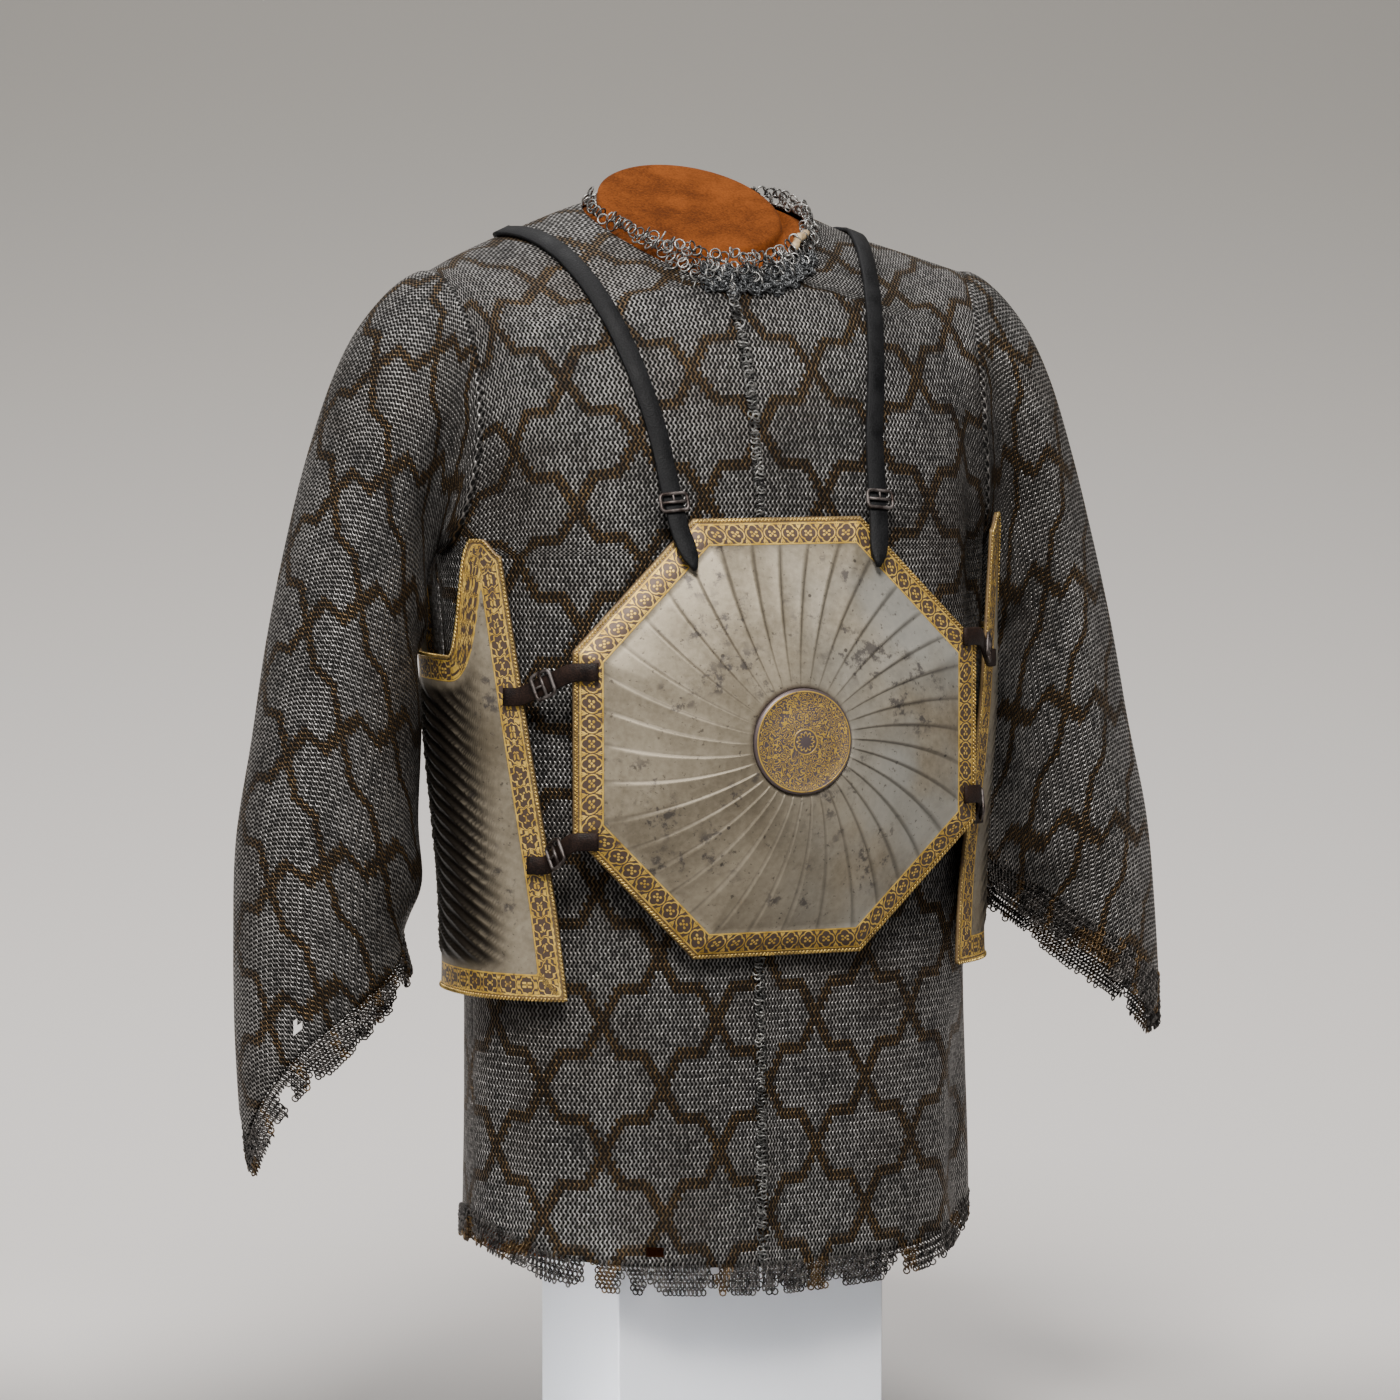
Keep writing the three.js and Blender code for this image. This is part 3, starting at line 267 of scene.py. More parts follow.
# The backdrop: near darkens the floor before the part; from low to high the wall darkens upwards in painted
# shade
STAGE = {"near": (0.22, 0.214, 0.208), "low": (0.97, 0.92, 0.885), "high": (0.3, 0.285, 0.262)}
FLOAT = "NodeSocketFloat"

# The stage, in metres; the lights' power is in watts and their spread in degrees
BACKDROP = {"width": 9.0, "near": -4.5, "far": 2.6, "curve": 1.6, "height": 4.5}
LIGHTS = {
    "name": ("key", "side", "fill", "top", "low"),
    "place": ((-1, -2.3, 3.2), (-2.6, -0.9, 1.7), (2.4, -2, 1.5), (-0.1, 0.9, 3.1), (-0.95, -0.42, 0.07)),
    "aim": ((0, 0, 0.65), (0, 0, 0.6), (0, 0, 0.5), (0, 0.6, 0.6), (0, -0.05, 0.02)),
    "size": ((1.3, 1.1), (0.8, 1.6), (1.4, 2.0), (2.2, 1.6), (0.3, 0.1)),
    "power": (175, 12, 2, 52, 0.5),
    "colour": ((1, 0.98, 0.95), (1, 0.99, 0.97), (0.95, 0.98, 1), (1, 1, 1), (0.94, 0.97, 1)),
    "spread": (180, 180, 180, 180, 28),
}
CAMERA = {
    "heading": math.radians(-23), "pitch": math.radians(4.1),
    "distance": 3.89, "height": 0.82, "aside": -0.0075, "sensor": 36,
}
PHOTO_WIDTH = 1400
FOCAL_PIXELS = 5735


def smoothstep(value, low, high):
    t = np.clip((np.asarray(value, float) - low) / (high - low), 0, 1)
    return t * t * (3 - 2 * t)


def bell(distance, width):
    return np.exp(-((distance / width) ** 2))


def lerp(start, end, t):
    return start + (end - start) * t


def turn_between(a, b):
    return (a - b + 540) % 360 - 180


def unit(vectors):
    return vectors / np.linalg.norm(vectors, axis=-1, keepdims=True)


def row_lengths(grid):
    """Length run along a line, or along each column of a grid, from its first row."""
    steps = np.linalg.norm(np.diff(grid, axis=0), axis=-1)
    return np.concatenate([np.zeros((1,) + steps.shape[1:]), np.cumsum(steps, axis=0)])


def along_path(at, run, points):
    """Places on a line at given lengths; run holds the length at each of its points."""
    return np.stack([np.interp(at, run, points[:, i]) for i in range(3)], axis=-1)


def along(table, key, column, at):
    """A value from a short table, with a smooth curve through its rows."""
    keys = np.array(table[key], float)
    values = np.array(table[column], float)
    at = np.asarray(at, float)
    last = len(keys) - 1
    i = np.searchsorted(keys[1:-1], at)
    before = np.maximum(i - 1, 0)
    after = np.minimum(i + 2, last)
    span = keys[i + 1] - keys[i]
    t = np.clip((at - keys[i]) / span, 0, 1)
    slope_in = (values[i + 1] - values[before]) / (keys[i + 1] - keys[before]) * span
    slope_out = (values[after] - values[i]) / (keys[after] - keys[i]) * span
    t2, t3 = t * t, t * t * t
    return (
        (2 * t3 - 3 * t2 + 1) * values[i]
        + (t3 - 2 * t2 + t) * slope_in
        + (3 * t2 - 2 * t3) * values[i + 1]
        + (t3 - t2) * slope_out
    )


def turning_point(low, high, is_past):
    """Narrows down, for each element, where a test turns true between low and high."""
    low, high = np.array(low, float), np.array(high, float)
    for _ in range(BISECTIONS):
        middle = (low + high) / 2
        past = is_past(middle)
        high = np.where(past, middle, high)
        low = np.where(past, low, middle)
    return high


# Surfaces of the shirt
def angle_from_front(psi, face):
    turn = np.degrees(psi)
    return turn if face < 0 else np.where(turn < 0, -1, 1) * (180 - np.abs(turn))


def body_fold(angle, z):
    total = np.zeros(np.broadcast(angle, z).shape)
    for place, height, up, across, depth in zip(*BODY_FOLDS.values()):
        total += depth * bell(turn_between(angle, place), across) * bell(z - height, up)
    return total


def section_at(share, grow=0.0):
    """The body's section at a share of its height, grown outwards all round."""
    section = {name: along(SECTIONS, "share", name, share) for name in SECTIONS if name != "share"}
    section["half_width"] = section["half_width"] + grow
    section["front"] = section["front"] - grow
    section["back"] = section["back"] + grow
    return section


def section_point(section, psi, face):
    power = 2 / section["square"]
    x = section["half_width"] * np.sign(psi) * np.abs(np.sin(psi)) ** power
    depth = (section["back"] - section["front"]) / 2 * np.maximum(np.cos(psi), 0) ** power
    return x, (section["front"] + section["back"]) / 2 + face * depth


def armhole_edge(level):
    share = np.clip(level - 1, 0, 1)
    width = ARMHOLE["open"] * np.abs(np.sin(share * math.pi)) ** ARMHOLE["roundness"]
    return QUARTER - width * (1 - ARMHOLE["narrowing"] * share)


def armhole_fullness(psi, level):
    """How far the cloth swells towards the sleeve beside the armhole."""
    share = np.clip(level - 1, 0, 1)
    most = ARMHOLE["swell"] * np.sin(share * math.pi) ** ARMHOLE["swell_roundness"]
    return most * bell(np.abs(psi) - armhole_edge(level), ARMHOLE["swell_reach"])


def body_point(psi, face, level, inset=0.0, lower=0.0):
    """level 0 is the hem, 1 the armpit, 2 the shoulder ridge; face is -1 in front and 1 behind."""
    psi, level = np.broadcast_arrays(np.asarray(psi, float), np.asarray(level, float))
    share = np.minimum(level, 1)
    angle = angle_from_front(psi, face)
    hem = along(HEM, "angle", "z", np.abs(angle))
    z = hem + (ARMPIT_Z - hem) * share
    fold = 0 if inset > 0 else body_fold(angle, z) * smoothstep(2 - level, *FOLDS_FADE)
    x, y = section_point(section_at(share, fold - inset), psi, face)
    rise = np.maximum(level - 1, 0)
    fullness = 0 if inset > 0 else armhole_fullness(psi, level)
    ridge_x = np.abs(x) * SHOULDER_TIP_X / CHEST_HALF_WIDTH
    ridge_y = along(RIDGE, "x", "y", ridge_x)
    ridge_z = along(RIDGE, "x", "z", ridge_x) - lower
    arch = rise * QUARTER
    high = level > 1
    return np.stack(
        [
            lerp(x, np.sign(x) * (ridge_x - inset), rise),
            np.where(high, ridge_y + (y - ridge_y) * np.cos(arch) + face * fullness, y),
            np.where(high, ARMPIT_Z + (ridge_z - ARMPIT_Z) * np.sin(arch), z),
        ],
        axis=-1,
    )


def psi_for_x(x, level):
    section = section_at(np.minimum(level, 1))
    reach = lerp(section["half_width"], SHOULDER_TIP_X, np.maximum(level - 1, 0))
    return np.sign(x) * np.arcsin(np.minimum(np.abs(x) / reach, 1) ** (section["square"] / 2))


def in_neck_hole(point):
    across = point[..., 0] / NECK_HOLE["half_width"]
    depth = (point[..., 1] - NECK_HOLE["y"]) / NECK_HOLE["half_depth"]
    return (point[..., 2] > ARMPIT_Z) & (across**2 + depth**2 < 1)


def sleeve_point(share, angle, swing):
    """A point of the wearer's left sleeve; angle is in degrees from the top over the front."""
    share, angle = np.broadcast_arrays(np.asarray(share, float), np.asarray(angle, float))
    at = {name: along(SLEEVE, "share", name, share) for name in SLEEVE if name != "share"}
    fold = np.zeros(share.shape)
    for place, turn, length, spread, depth in zip(*SLEEVE_FOLDS.values()):
        fold += depth * bell(share - place, length) * bell(turn_between(angle, turn), spread)
    half_x, half_z = (at["top_x"] - at["under_x"]) / 2, (at["top_z"] - at["under_z"]) / 2
    reach = np.cos(np.radians(angle)) * (1 + fold / np.hypot(half_x, half_z))
    depth = at["half_depth"] * np.sin(np.radians(angle)) * (1 + fold / at["half_depth"])
    return np.stack(
        [
            (at["top_x"] + at["under_x"]) / 2 + half_x * reach + swing * share**SWING_BEND,
            at["centre_y"] - depth,
            (at["top_z"] + at["under_z"]) / 2 + half_z * reach,
        ],
        axis=-1,
    )


def armhole_loop(count):
    """Sleeve angles and points of the armhole's edge, from the ridge down the front and up the back."""
    angle = np.arange(count) * 360 / count
    place = np.interp(np.abs(180 - angle), (0, 180), (0, len(ARMHOLE_LEVELS) - 1))
    level = np.interp(place, range(len(ARMHOLE_LEVELS)), ARMHOLE_LEVELS)
    front = body_point(armhole_edge(level), -1, level)
    back = body_point(armhole_edge(level), 1, level)
    return angle, np.where((angle <= 180)[:, None], front, back)


def sleeve_surface(t, angle, edge, end, swing):
    """From the armhole's edge at t 0 to the cuff at t 1."""
    start = edge + np.stack([SLEEVE_LEAD * t, 0 * t, 0 * t], axis=-1)
    return lerp(start, sleeve_point(t * end, angle, swing), smoothstep(t, 0, SLEEVE_JOIN)[..., None])


def shoulder_height(x, y, inset, lower):
    """The height of the form's shoulders over a point of the plan."""
    section = section_at(1.0)
    across = np.minimum(np.abs(x) / (section["half_width"] - inset), 1)
    depth = np.maximum(1 - across ** section["square"], 0) ** (1 / section["square"])
    middle = (section["front"] + section["back"]) / 2
    half_depth = (section["back"] - section["front"]) / 2 - inset
    ridge_y = along(RIDGE, "x", "y", across * SHOULDER_TIP_X)
    ridge_z = along(RIDGE, "x", "z", across * SHOULDER_TIP_X) - lower
    edge_y = middle + np.where(y < ridge_y, -1, 1) * half_depth * depth
    gap = np.where(np.abs(edge_y - ridge_y) < 1e-6, 1, edge_y - ridge_y)
    away = np.clip((y - ridge_y) / gap, 0, 1)
    return ARMPIT_Z + (ridge_z - ARMPIT_Z) * np.sqrt(1 - away * away)


# Meshes from grids of points
def new_object(name, mesh):
    piece = bpy.data.objects.new(name, mesh)
    bpy.context.scene.collection.objects.link(piece)
    return piece


def grid_faces(rows, columns, wrapped, base=0):
    last = columns if wrapped else columns - 1
    j, i = np.meshgrid(np.arange(rows - 1), np.arange(last), indexing="ij")
    k = (i + 1) % columns
    low, high = j * columns, (j + 1) * columns
    quads = np.stack([low + i, low + k, high + k, high + i], axis=-1)
    return quads.reshape(-1, 4) + base


def capped_tube(rows, columns):
    """Faces of a tube of rings, with both its ends filled."""
    faces = [list(f) for f in grid_faces(rows, columns, True)]
    faces.append(list(range(columns))[::-1])
    faces.append([(rows - 1) * columns + i for i in range(columns)])
    return faces


def mesh_piece(name, points, faces, uv=None, finish=None):
    """A smooth mesh from points in millimetres; uv gives one pair for each corner of each face."""
    mesh = bpy.data.meshes.new(name)
    mesh.from_pydata((np.asarray(points) * MM).tolist(), [], [list(map(int, f)) for f in faces])
    mesh.polygons.foreach_set("use_smooth", [True] * len(mesh.polygons))
    if uv is not None:
        layer = mesh.uv_layers.new(name="cloth")
        layer.data.foreach_set("uv", np.asarray(uv, float).reshape(-1))
    if finish is not None:
        mesh.materials.append(finish)
    mesh.update()
    return new_object(name, mesh)


def finished(piece):
    """Turns a piece's modifiers into plain mesh."""
    depsgraph = bpy.context.evaluated_depsgraph_get()
    mesh = bpy.data.meshes.new_from_object(piece.evaluated_get(depsgraph))
    piece.modifiers.clear()
    old = piece.data
    piece.data = mesh
    mesh.name = piece.name
    bpy.data.meshes.remove(old)
    return piece


def mended(piece, merge=0.0, turn_out=False):
    """Joins points that lie closer than merge and turns faces outwards, where asked."""
    mesh = bmesh.new()
    mesh.from_mesh(piece.data)
    if merge:
        bmesh.ops.remove_doubles(mesh, verts=mesh.verts, dist=merge * MM)
    if turn_out:
        bmesh.ops.recalc_face_normals(mesh, faces=mesh.faces)
    mesh.to_mesh(piece.data)
    mesh.free()
    return piece


def torn_away(points, tears):
    """Which points lie in a tear: an upright oval given by its middle, width and height."""
    torn = np.zeros(points.shape[:-1], bool)
    for x, y, z, width, height in tears:
        near = np.hypot((points[..., 0] - x) / (width / 2), (points[..., 2] - z) / (height / 2)) < 1
        torn |= near & (np.abs(points[..., 1] - y) < TEAR_DEPTH)
    return torn


def unbroken(places, whole):
    """Carries a face's places on past the join of a wrapped grid, where they start again at 0."""
    jump = places.max(axis=1) - places.min(axis=1) > whole / 2
    return places + np.where((places < whole / 2) & jump[:, None], whole, 0)


def sheet_grids(name, grids, tears, outward):
    """A wall of mail from one or more grids of points with their weave places, torn where tears lie."""
    points, faces, corners = [], [], []
    base = 0
    for grid, weave, wrapped in grids:
        rows, columns = grid.shape[:2]
        quads = grid_faces(rows, columns, wrapped)
        keep = ~torn_away(grid.reshape(-1, 3)[quads].mean(axis=1), tears)
        uv = weave.reshape(-1, 2)[quads]
        if wrapped:
            uv[:, :, 1] = unbroken(uv[:, :, 1], SLEEVE_ROUND)
        quads, uv = quads[keep], uv[keep]
        if outward < 0:
            quads, uv = quads[:, ::-1], uv[:, ::-1]
        points.append(grid.reshape(-1, 3))
        faces.append(quads + base)
        corners.append(uv)
        base += rows * columns
        outward = -outward
    piece = mesh_piece(name, np.concatenate(points), np.concatenate(faces), np.concatenate(corners))
    mended(piece, merge=0.05)
    wall = piece.modifiers.new("wall", "SOLIDIFY")
    wall.thickness = MAIL_THICKNESS * MM
    wall.offset = -1
    return finished(piece)


# The weave's places: u runs round the body from the centre front, v up from the armpit's row
def around_body(psi, face):
    """The weave's place round the chest for a psi, from the centre front."""
    fine = np.linspace(-QUARTER, QUARTER, 721)
    line = body_point(fine, -1, 1.0)[:, :2]
    length = row_lengths(line)
    length -= length[len(fine) // 2]
    place = np.interp(psi, fine, length)
    half_round = 2 * length[-1]
    return place if face < 0 else np.where(psi < 0, -half_round - place, half_round - place)


def half_panel(face, hand, centre_x):
    """One half of the front or back, from the centre line or neck to the side or armhole."""
    lowest = turning_point([1.2], [2.0], lambda level: in_neck_hole(body_point(0.0, face, level)))[0]
    below = np.linspace(1, lowest, NECK_ROWS["below"])
    above = np.linspace(lowest, 2, NECK_ROWS["above"])[1:]
    high = np.concatenate([below, above])
    rows = np.concatenate([np.linspace(0, 1, LOW_ROWS)[:-1], high])
    centre = hand * psi_for_x(centre_x, rows)
    neck = turning_point(
        np.zeros(len(rows)), np.full(len(rows), QUARTER),
        lambda psi: ~in_neck_hole(body_point(psi, face, rows)),
    )
    start = np.where(rows > lowest + 1e-9, np.maximum(neck, centre), centre)
    end = armhole_edge(rows)
    t = np.linspace(0, 1, BODY_COLUMNS)
    psi = hand * lerp(start[:, None], end[:, None], t[None, :])
    angle = angle_from_front(psi, face)
    hem = along(HEM, "angle", "z", np.abs(angle))
    first = HEM_BAND / (ARMPIT_Z - hem)
    level = np.where(rows[:, None] < 1, lerp(first, 1, rows[:, None]), rows[:, None])
    grid = body_point(psi, face, level)
    v = row_lengths(grid)
    v = v - v[LOW_ROWS - 1]
    u = around_body(psi, face)
    return grid, np.stack([u, v], axis=-1)


def front_panel(name, hand):
    grid, weave = half_panel(-1, hand, FRONT_OPENING_X)
    return sheet_grids(name, [(grid, weave, False)], TEARS[name], hand)


def back_panel(name):
    halves = [half_panel(1, hand, 0) + (False,) for hand in (-1, 1)]
    return sheet_grids(name, halves, TEARS[name], 1)


def sleeve_layout(side):
    """Angles round a sleeve with their armhole points, cuff shares and lengths, and the sleeve's swing."""
    angle, edge = armhole_loop(SLEEVE_COLUMNS)
    swing = SLEEVE_SWING[side]
    cuff_z = along(CUFFS[side], "angle", "z", angle)
    end = turning_point(
        np.full(len(angle), 0.4), np.ones(len(angle)),
        lambda share: sleeve_point(share, angle, swing)[:, 2] < cuff_z,
    )
    t = np.linspace(0, 1, LENGTH_SAMPLES)[:, None] * np.ones(len(angle))
    length = row_lengths(sleeve_surface(t, angle, edge, end, swing))[-1]
    return angle, edge, end, swing, length


def tucked(edge):
    """A short way in from the armhole's edge and under the body's cloth."""
    inward = edge.mean(axis=0) - edge
    inward[:, 0] = 0
    inward *= TUCK["inward"] / np.linalg.norm(inward, axis=1, keepdims=True)
    return inward - (TUCK["under"], 0, 0)


def sleeve(name, side):
    hand = HANDS[side]
    angle, edge, end, swing, length = sleeve_layout(side)
    last = 1 - CUFF_BAND / length
    t = np.linspace(0, 1, SLEEVE_ROWS)[:, None] * last
    grid = sleeve_surface(t, angle, edge, end, swing)
    u = row_lengths(grid) - SLEEVE_START
    grid[0] += tucked(edge)
    v = np.broadcast_to(angle / 360 * SLEEVE_ROUND, u.shape)
    grid[..., 0] *= hand
    return sheet_grids(name, [(grid, np.stack([u, v], axis=-1), True)], TEARS[name], -hand)


# Node building
def fill(tree, slot, value):
    """Links a field to a node's slot, or sets the slot to a plain value."""
    if isinstance(value, Field):
        tree.links.new(value.socket, slot)
    else:
        slot.default_value = value


class Field:
    """A number or colour that changes over a surface, with sums written as they are read."""

    def __init__(self, tree, socket):
        self.tree = tree
        self.socket = socket

    def math(self, operation, *others):
        node = self.tree.nodes.new("ShaderNodeMath")
        node.operation = operation
        for slot, value in enumerate((self,) + others):
            fill(self.tree, node.inputs[slot], value)
        return Field(self.tree, node.outputs[0])

    __add__ = __radd__ = partialmethod(math, "ADD")
    __sub__ = partialmethod(math, "SUBTRACT")
    __mul__ = __rmul__ = partialmethod(math, "MULTIPLY")
    __truediv__ = partialmethod(math, "DIVIDE")
    sine = partialmethod(math, "SINE")
    cosine = partialmethod(math, "COSINE")
    size = partialmethod(math, "ABSOLUTE")
    floor = partialmethod(math, "FLOOR")
    fraction = partialmethod(math, "FRACT")
    least = partialmethod(math, "MINIMUM")
    most = partialmethod(math, "MAXIMUM")
    power = partialmethod(math, "POWER")
    root = partialmethod(math, "SQRT")

    def __rsub__(self, other):
        return self * -1.0 + other

    def ramp(self, low, high, start=0.0, stop=1.0):
        node = self.tree.nodes.new("ShaderNodeMapRange")
        node.interpolation_type = "SMOOTHSTEP"
        for slot, value in zip(("From Min", "From Max", "To Min", "To Max"), (low, high, start, stop)):
            node.inputs[slot].default_value = value
        self.tree.links.new(self.socket, node.inputs["Value"])
        return Field(self.tree, node.outputs["Result"])

    def from_middle(self):
        """Distance of a repeating place from the middle of its repeat, from 0 to a half."""
        return (self.fraction() - 0.5).size()


def across(first, second):
    """Length of a step with two parts."""
    return (first * first + second * second).root()


def mix_colour(tree, share, first, second):
    node = tree.nodes.new("ShaderNodeMix")
    node.data_type = "RGBA"
    fill(tree, node.inputs[0], share)
    for slot, colour in ((6, first), (7, second)):
        fill(tree, node.inputs[slot], colour if isinstance(colour, Field) else (*colour, 1))
    return Field(tree, node.outputs[2])


def noise(tree, vector, scale, detail=3.0, roughness=0.55):
    node = tree.nodes.new("ShaderNodeTexNoise")
    node.inputs["Scale"].default_value = scale
    node.inputs["Detail"].default_value = detail
    node.inputs["Roughness"].default_value = roughness
    tree.links.new(vector, node.inputs["Vector"])
    return Field(tree, node.outputs["Fac"])


def cells(tree, vector, scale):
    node = tree.nodes.new("ShaderNodeTexVoronoi")
    node.inputs["Scale"].default_value = scale
    tree.links.new(vector, node.inputs["Vector"])
    return node


def own_value(tree, name):
    """A number kept at each point of the mesh."""
    node = tree.nodes.new("ShaderNodeAttribute")
    node.attribute_name = name
    return Field(tree, node.outputs["Fac"])


def pair(tree, first, second):
    node = tree.nodes.new("ShaderNodeCombineXYZ")
    for slot, field in enumerate((first, second)):
        tree.links.new(field.socket, node.inputs[slot])
    return node.outputs[0]


def parts_of(tree, vector):
    node = tree.nodes.new("ShaderNodeSeparateXYZ")
    tree.links.new(vector, node.inputs[0])
    return [Field(tree, node.outputs[i]) for i in range(3)]


def surface_place(tree):
    """The two places on a piece's own surface, in millimetres."""
    node = tree.nodes.new("ShaderNodeUVMap")
    node.uv_map = "cloth"
    return parts_of(tree, node.outputs[0])[:2]


def new_group(name, inputs, outputs):
    tree = bpy.data.node_groups.new(name, "ShaderNodeTree")
    for label in inputs:
        tree.interface.new_socket(label, in_out="INPUT", socket_type=FLOAT)
    for label in outputs:
        tree.interface.new_socket(label, in_out="OUTPUT", socket_type=FLOAT)
    start = tree.nodes.new("NodeGroupInput")
    end = tree.nodes.new("NodeGroupOutput")
    fields = [Field(tree, start.outputs[label]) for label in inputs]
    return tree, fields, end


def give(tree, end, **fields):
    for label, field in fields.items():
        tree.links.new(field.socket, end.inputs[label.replace("_", " ").capitalize()])


def use_group(tree, group, **values):
    node = tree.nodes.new("ShaderNodeGroup")
    node.node_tree = group
    for label, value in values.items():
        fill(tree, node.inputs[label.replace("_", " ").capitalize()], value)
    return {out.name: Field(tree, out) for out in node.outputs}


def brass_lattice_group():
    """Bands of brass rings round stepped, pointed cells. Places are millimetres."""
    tree, (u, v), end = new_group("brass_lattice", ["U", "V"], ["Brass"])
    place = (u - LATTICE["start_u"]) / LATTICE["width"]
    twice = (v - LATTICE["start_v"]) / LATTICE["height"] * 2.0
    share = twice.fraction()
    past_step = share.ramp(0.499, 0.501) * (1 - LATTICE["slant"])
    climb = (twice.floor() + share * LATTICE["slant"] + past_step) * 0.5
    middle = (twice.floor() + 0.5) * 0.5
    rise = (share - 0.5) * (LATTICE["height"] / 2)
    nearest = None
    for sign in (-1.0, 1.0):
        leg = (0.5 - (place + climb * sign).from_middle()) * (LATTICE["width"] / LATTICE_LEAN)
        aside = (0.5 - (place + middle * sign).from_middle()) * LATTICE["width"] - LATTICE_STEP
        line = leg.least(across(aside.most(0.0), rise))
        nearest = line if nearest is None else nearest.least(line)
    brass = nearest.ramp(LATTICE["band"] + 0.4, LATTICE["band"] - 0.4)
    give(tree, end, brass=brass)
    return tree


def ring_weave_group(lattice):
    """Linked rings from a place on the cloth in millimetres: wire, height, brass and each ring's own tone.

    Turned is 0 where the brass lattice stands on the cloth's rows, and 1 where it lies along them.
    """
    outputs = ["Wire", "Height", "Brass", "Tone"]
    tree, (u, v, turned), end = new_group("ring_weave", ["U", "V", "Turned"], outputs)
    row = v / ROW_PITCH
    swing = (row * math.pi).sine()
    wave = swing * 0.25
    place = u / RING_PITCH - wave
    front_arc = (0.5 - place.from_middle()) * 2.0
    back_arc = (0.5 - (u / RING_PITCH + wave + 0.5).from_middle()) * 2.0
    bend = swing.size()
    front_round = (1 - (front_arc / 0.46).power(2.0)).most(0.0).root()
    back_round = (1 - (back_arc / 0.4).power(2.0)).most(0.0).root()
    height = (front_round * (bend * 0.4 + 0.6)).most(back_round * (bend * -0.3 + 0.4))
    # A ring's far arc counts for 0.3 of a wire, so it is drawn most of the way towards the gaps' black:
    # painted shade.
    wire = front_arc.ramp(0.5, 0.3).most(back_arc.ramp(0.42, 0.26) * 0.3)
    ring_u = (place + 0.5).floor()
    ring_v = row.floor()
    white = tree.nodes.new("ShaderNodeTexWhiteNoise")
    white.noise_dimensions = "2D"
    tree.links.new(pair(tree, ring_u, ring_v), white.inputs["Vector"])
    tone = Field(tree, white.outputs["Value"])
    ring_u = ring_u * RING_PITCH
    ring_v = (ring_v + 0.5) * ROW_PITCH
    lattice_u = ring_u + (ring_v - ring_u) * turned
    lattice_v = ring_v + (ring_u * -1.0 - ring_v) * turned
    brass = use_group(tree, lattice, u=lattice_u, v=lattice_v)["Brass"]
    give(tree, end, wire=wire, height=height, brass=brass, tone=tone)
    return tree


def border_ornament_group():
    """Gold on a plate's border: lines, a chain of four-lobed panels, dots in each and leaves between."""
    tree, (along_edge, inset), end = new_group("border_ornament", ["Along", "Inset"], ["Gold", "Band"])
    pitch, middle = BORDER["pitch"], BORDER["middle"]
    x = ((along_edge / pitch).fraction() - 0.5) * pitch
    y = inset - middle
    lobes = None
    for dx, dy in ((2.9, 0.0), (-2.9, 0.0), (0.0, 2.5), (0.0, -2.5)):
        lobe = across(x - dx, y - dy) - 3.5
        lobes = lobe if lobes is None else lobes.least(lobe)
    panel_line = lobes.size().ramp(0.62, 0.28)
    petals = across((x.size() - 1.9) * 0.75, y.size() - 1.2)
    flower = petals.least(across(x, y)).ramp(0.95, 0.55)
    inside = lobes.ramp(0.0, -0.5)
    beside = (x.size() - pitch / 2).size()
    above = y.size()
    leaf = across(beside - (above - 3.0) * 0.5, (above - 4.6) * 0.45) - 0.3
    stalk = beside.ramp(0.45, 0.15) * above.ramp(2.0, 2.6)
    outside = lobes.ramp(0.5, 0.9)
    lines = ((inset - 3.9).size().least((inset - 17.0).size())).ramp(0.62, 0.34)
    pattern = panel_line.most(inside * flower).most(outside * leaf.ramp(0.5, 0.2).most(stalk))
    band = inset.ramp(17.9, 17.3) * inset.ramp(2.8, 3.2)
    rim = inset.ramp(3.2, 2.8)
    gold = (pattern * band).most(lines).most(rim * 0.15)
    give(tree, end, gold=gold, band=band.most(rim))
    return tree


def medallion_scroll_group():
    """Gold tendrils round a rosette, from a place on the disc in millimetres."""
    tree, (x, z), end = new_group("medallion_scroll", ["X", "Z"], ["Gold"])
    radius = across(x, z)
    turn = x.math("ARCTAN2", z) / (2 * math.pi)
    place = pair(tree, x, z)
    tendrils = (noise(tree, place, 0.2, 1.0, 0.4) * 9.0).from_middle().ramp(0.22, 0.16)
    buds = noise(tree, place, 0.55, 1.0).ramp(0.66, 0.7)
    rosette = (radius - (turn * 12.0 * math.pi).cosine().size() * 2.2 - 4.0).size().ramp(0.7, 0.3)
    lines = ((radius - 33.0).size().least((radius - 8.3).size())).ramp(0.6, 0.3)
    field_mask = radius.ramp(8.6, 9.2) * radius.ramp(32.4, 31.8)
    gold = (tendrils.most(buds) * field_mask).most(lines).most(rosette * radius.ramp(8.0, 7.6))
    give(tree, end, gold=gold)
    return tree


def new_material(name, roughness, metallic):
    """A material with its nodes, its shader and the place on the object that patterns are drawn from."""
    material = bpy.data.materials.new(name)
    material.use_nodes = True
    tree = material.node_tree
    shader = tree.nodes["Principled BSDF"]
    shader.inputs["Roughness"].default_value = roughness
    shader.inputs["Metallic"].default_value = metallic
    return material, tree, shader, tree.nodes.new("ShaderNodeTexCoord").outputs["Object"]


def bump(tree, shader, height, distance):
    node = tree.nodes.new("ShaderNodeBump")
    node.inputs["Strength"].default_value = 1.0
    node.inputs["Distance"].default_value = distance * MM
    tree.links.new(height.socket, node.inputs["Height"])
    tree.links.new(node.outputs[0], shader.inputs["Normal"])


def feed(tree, shader, **fields):
    for label, field in fields.items():
        tree.links.new(field.socket, shader.inputs[label.replace("_", " ").title()])


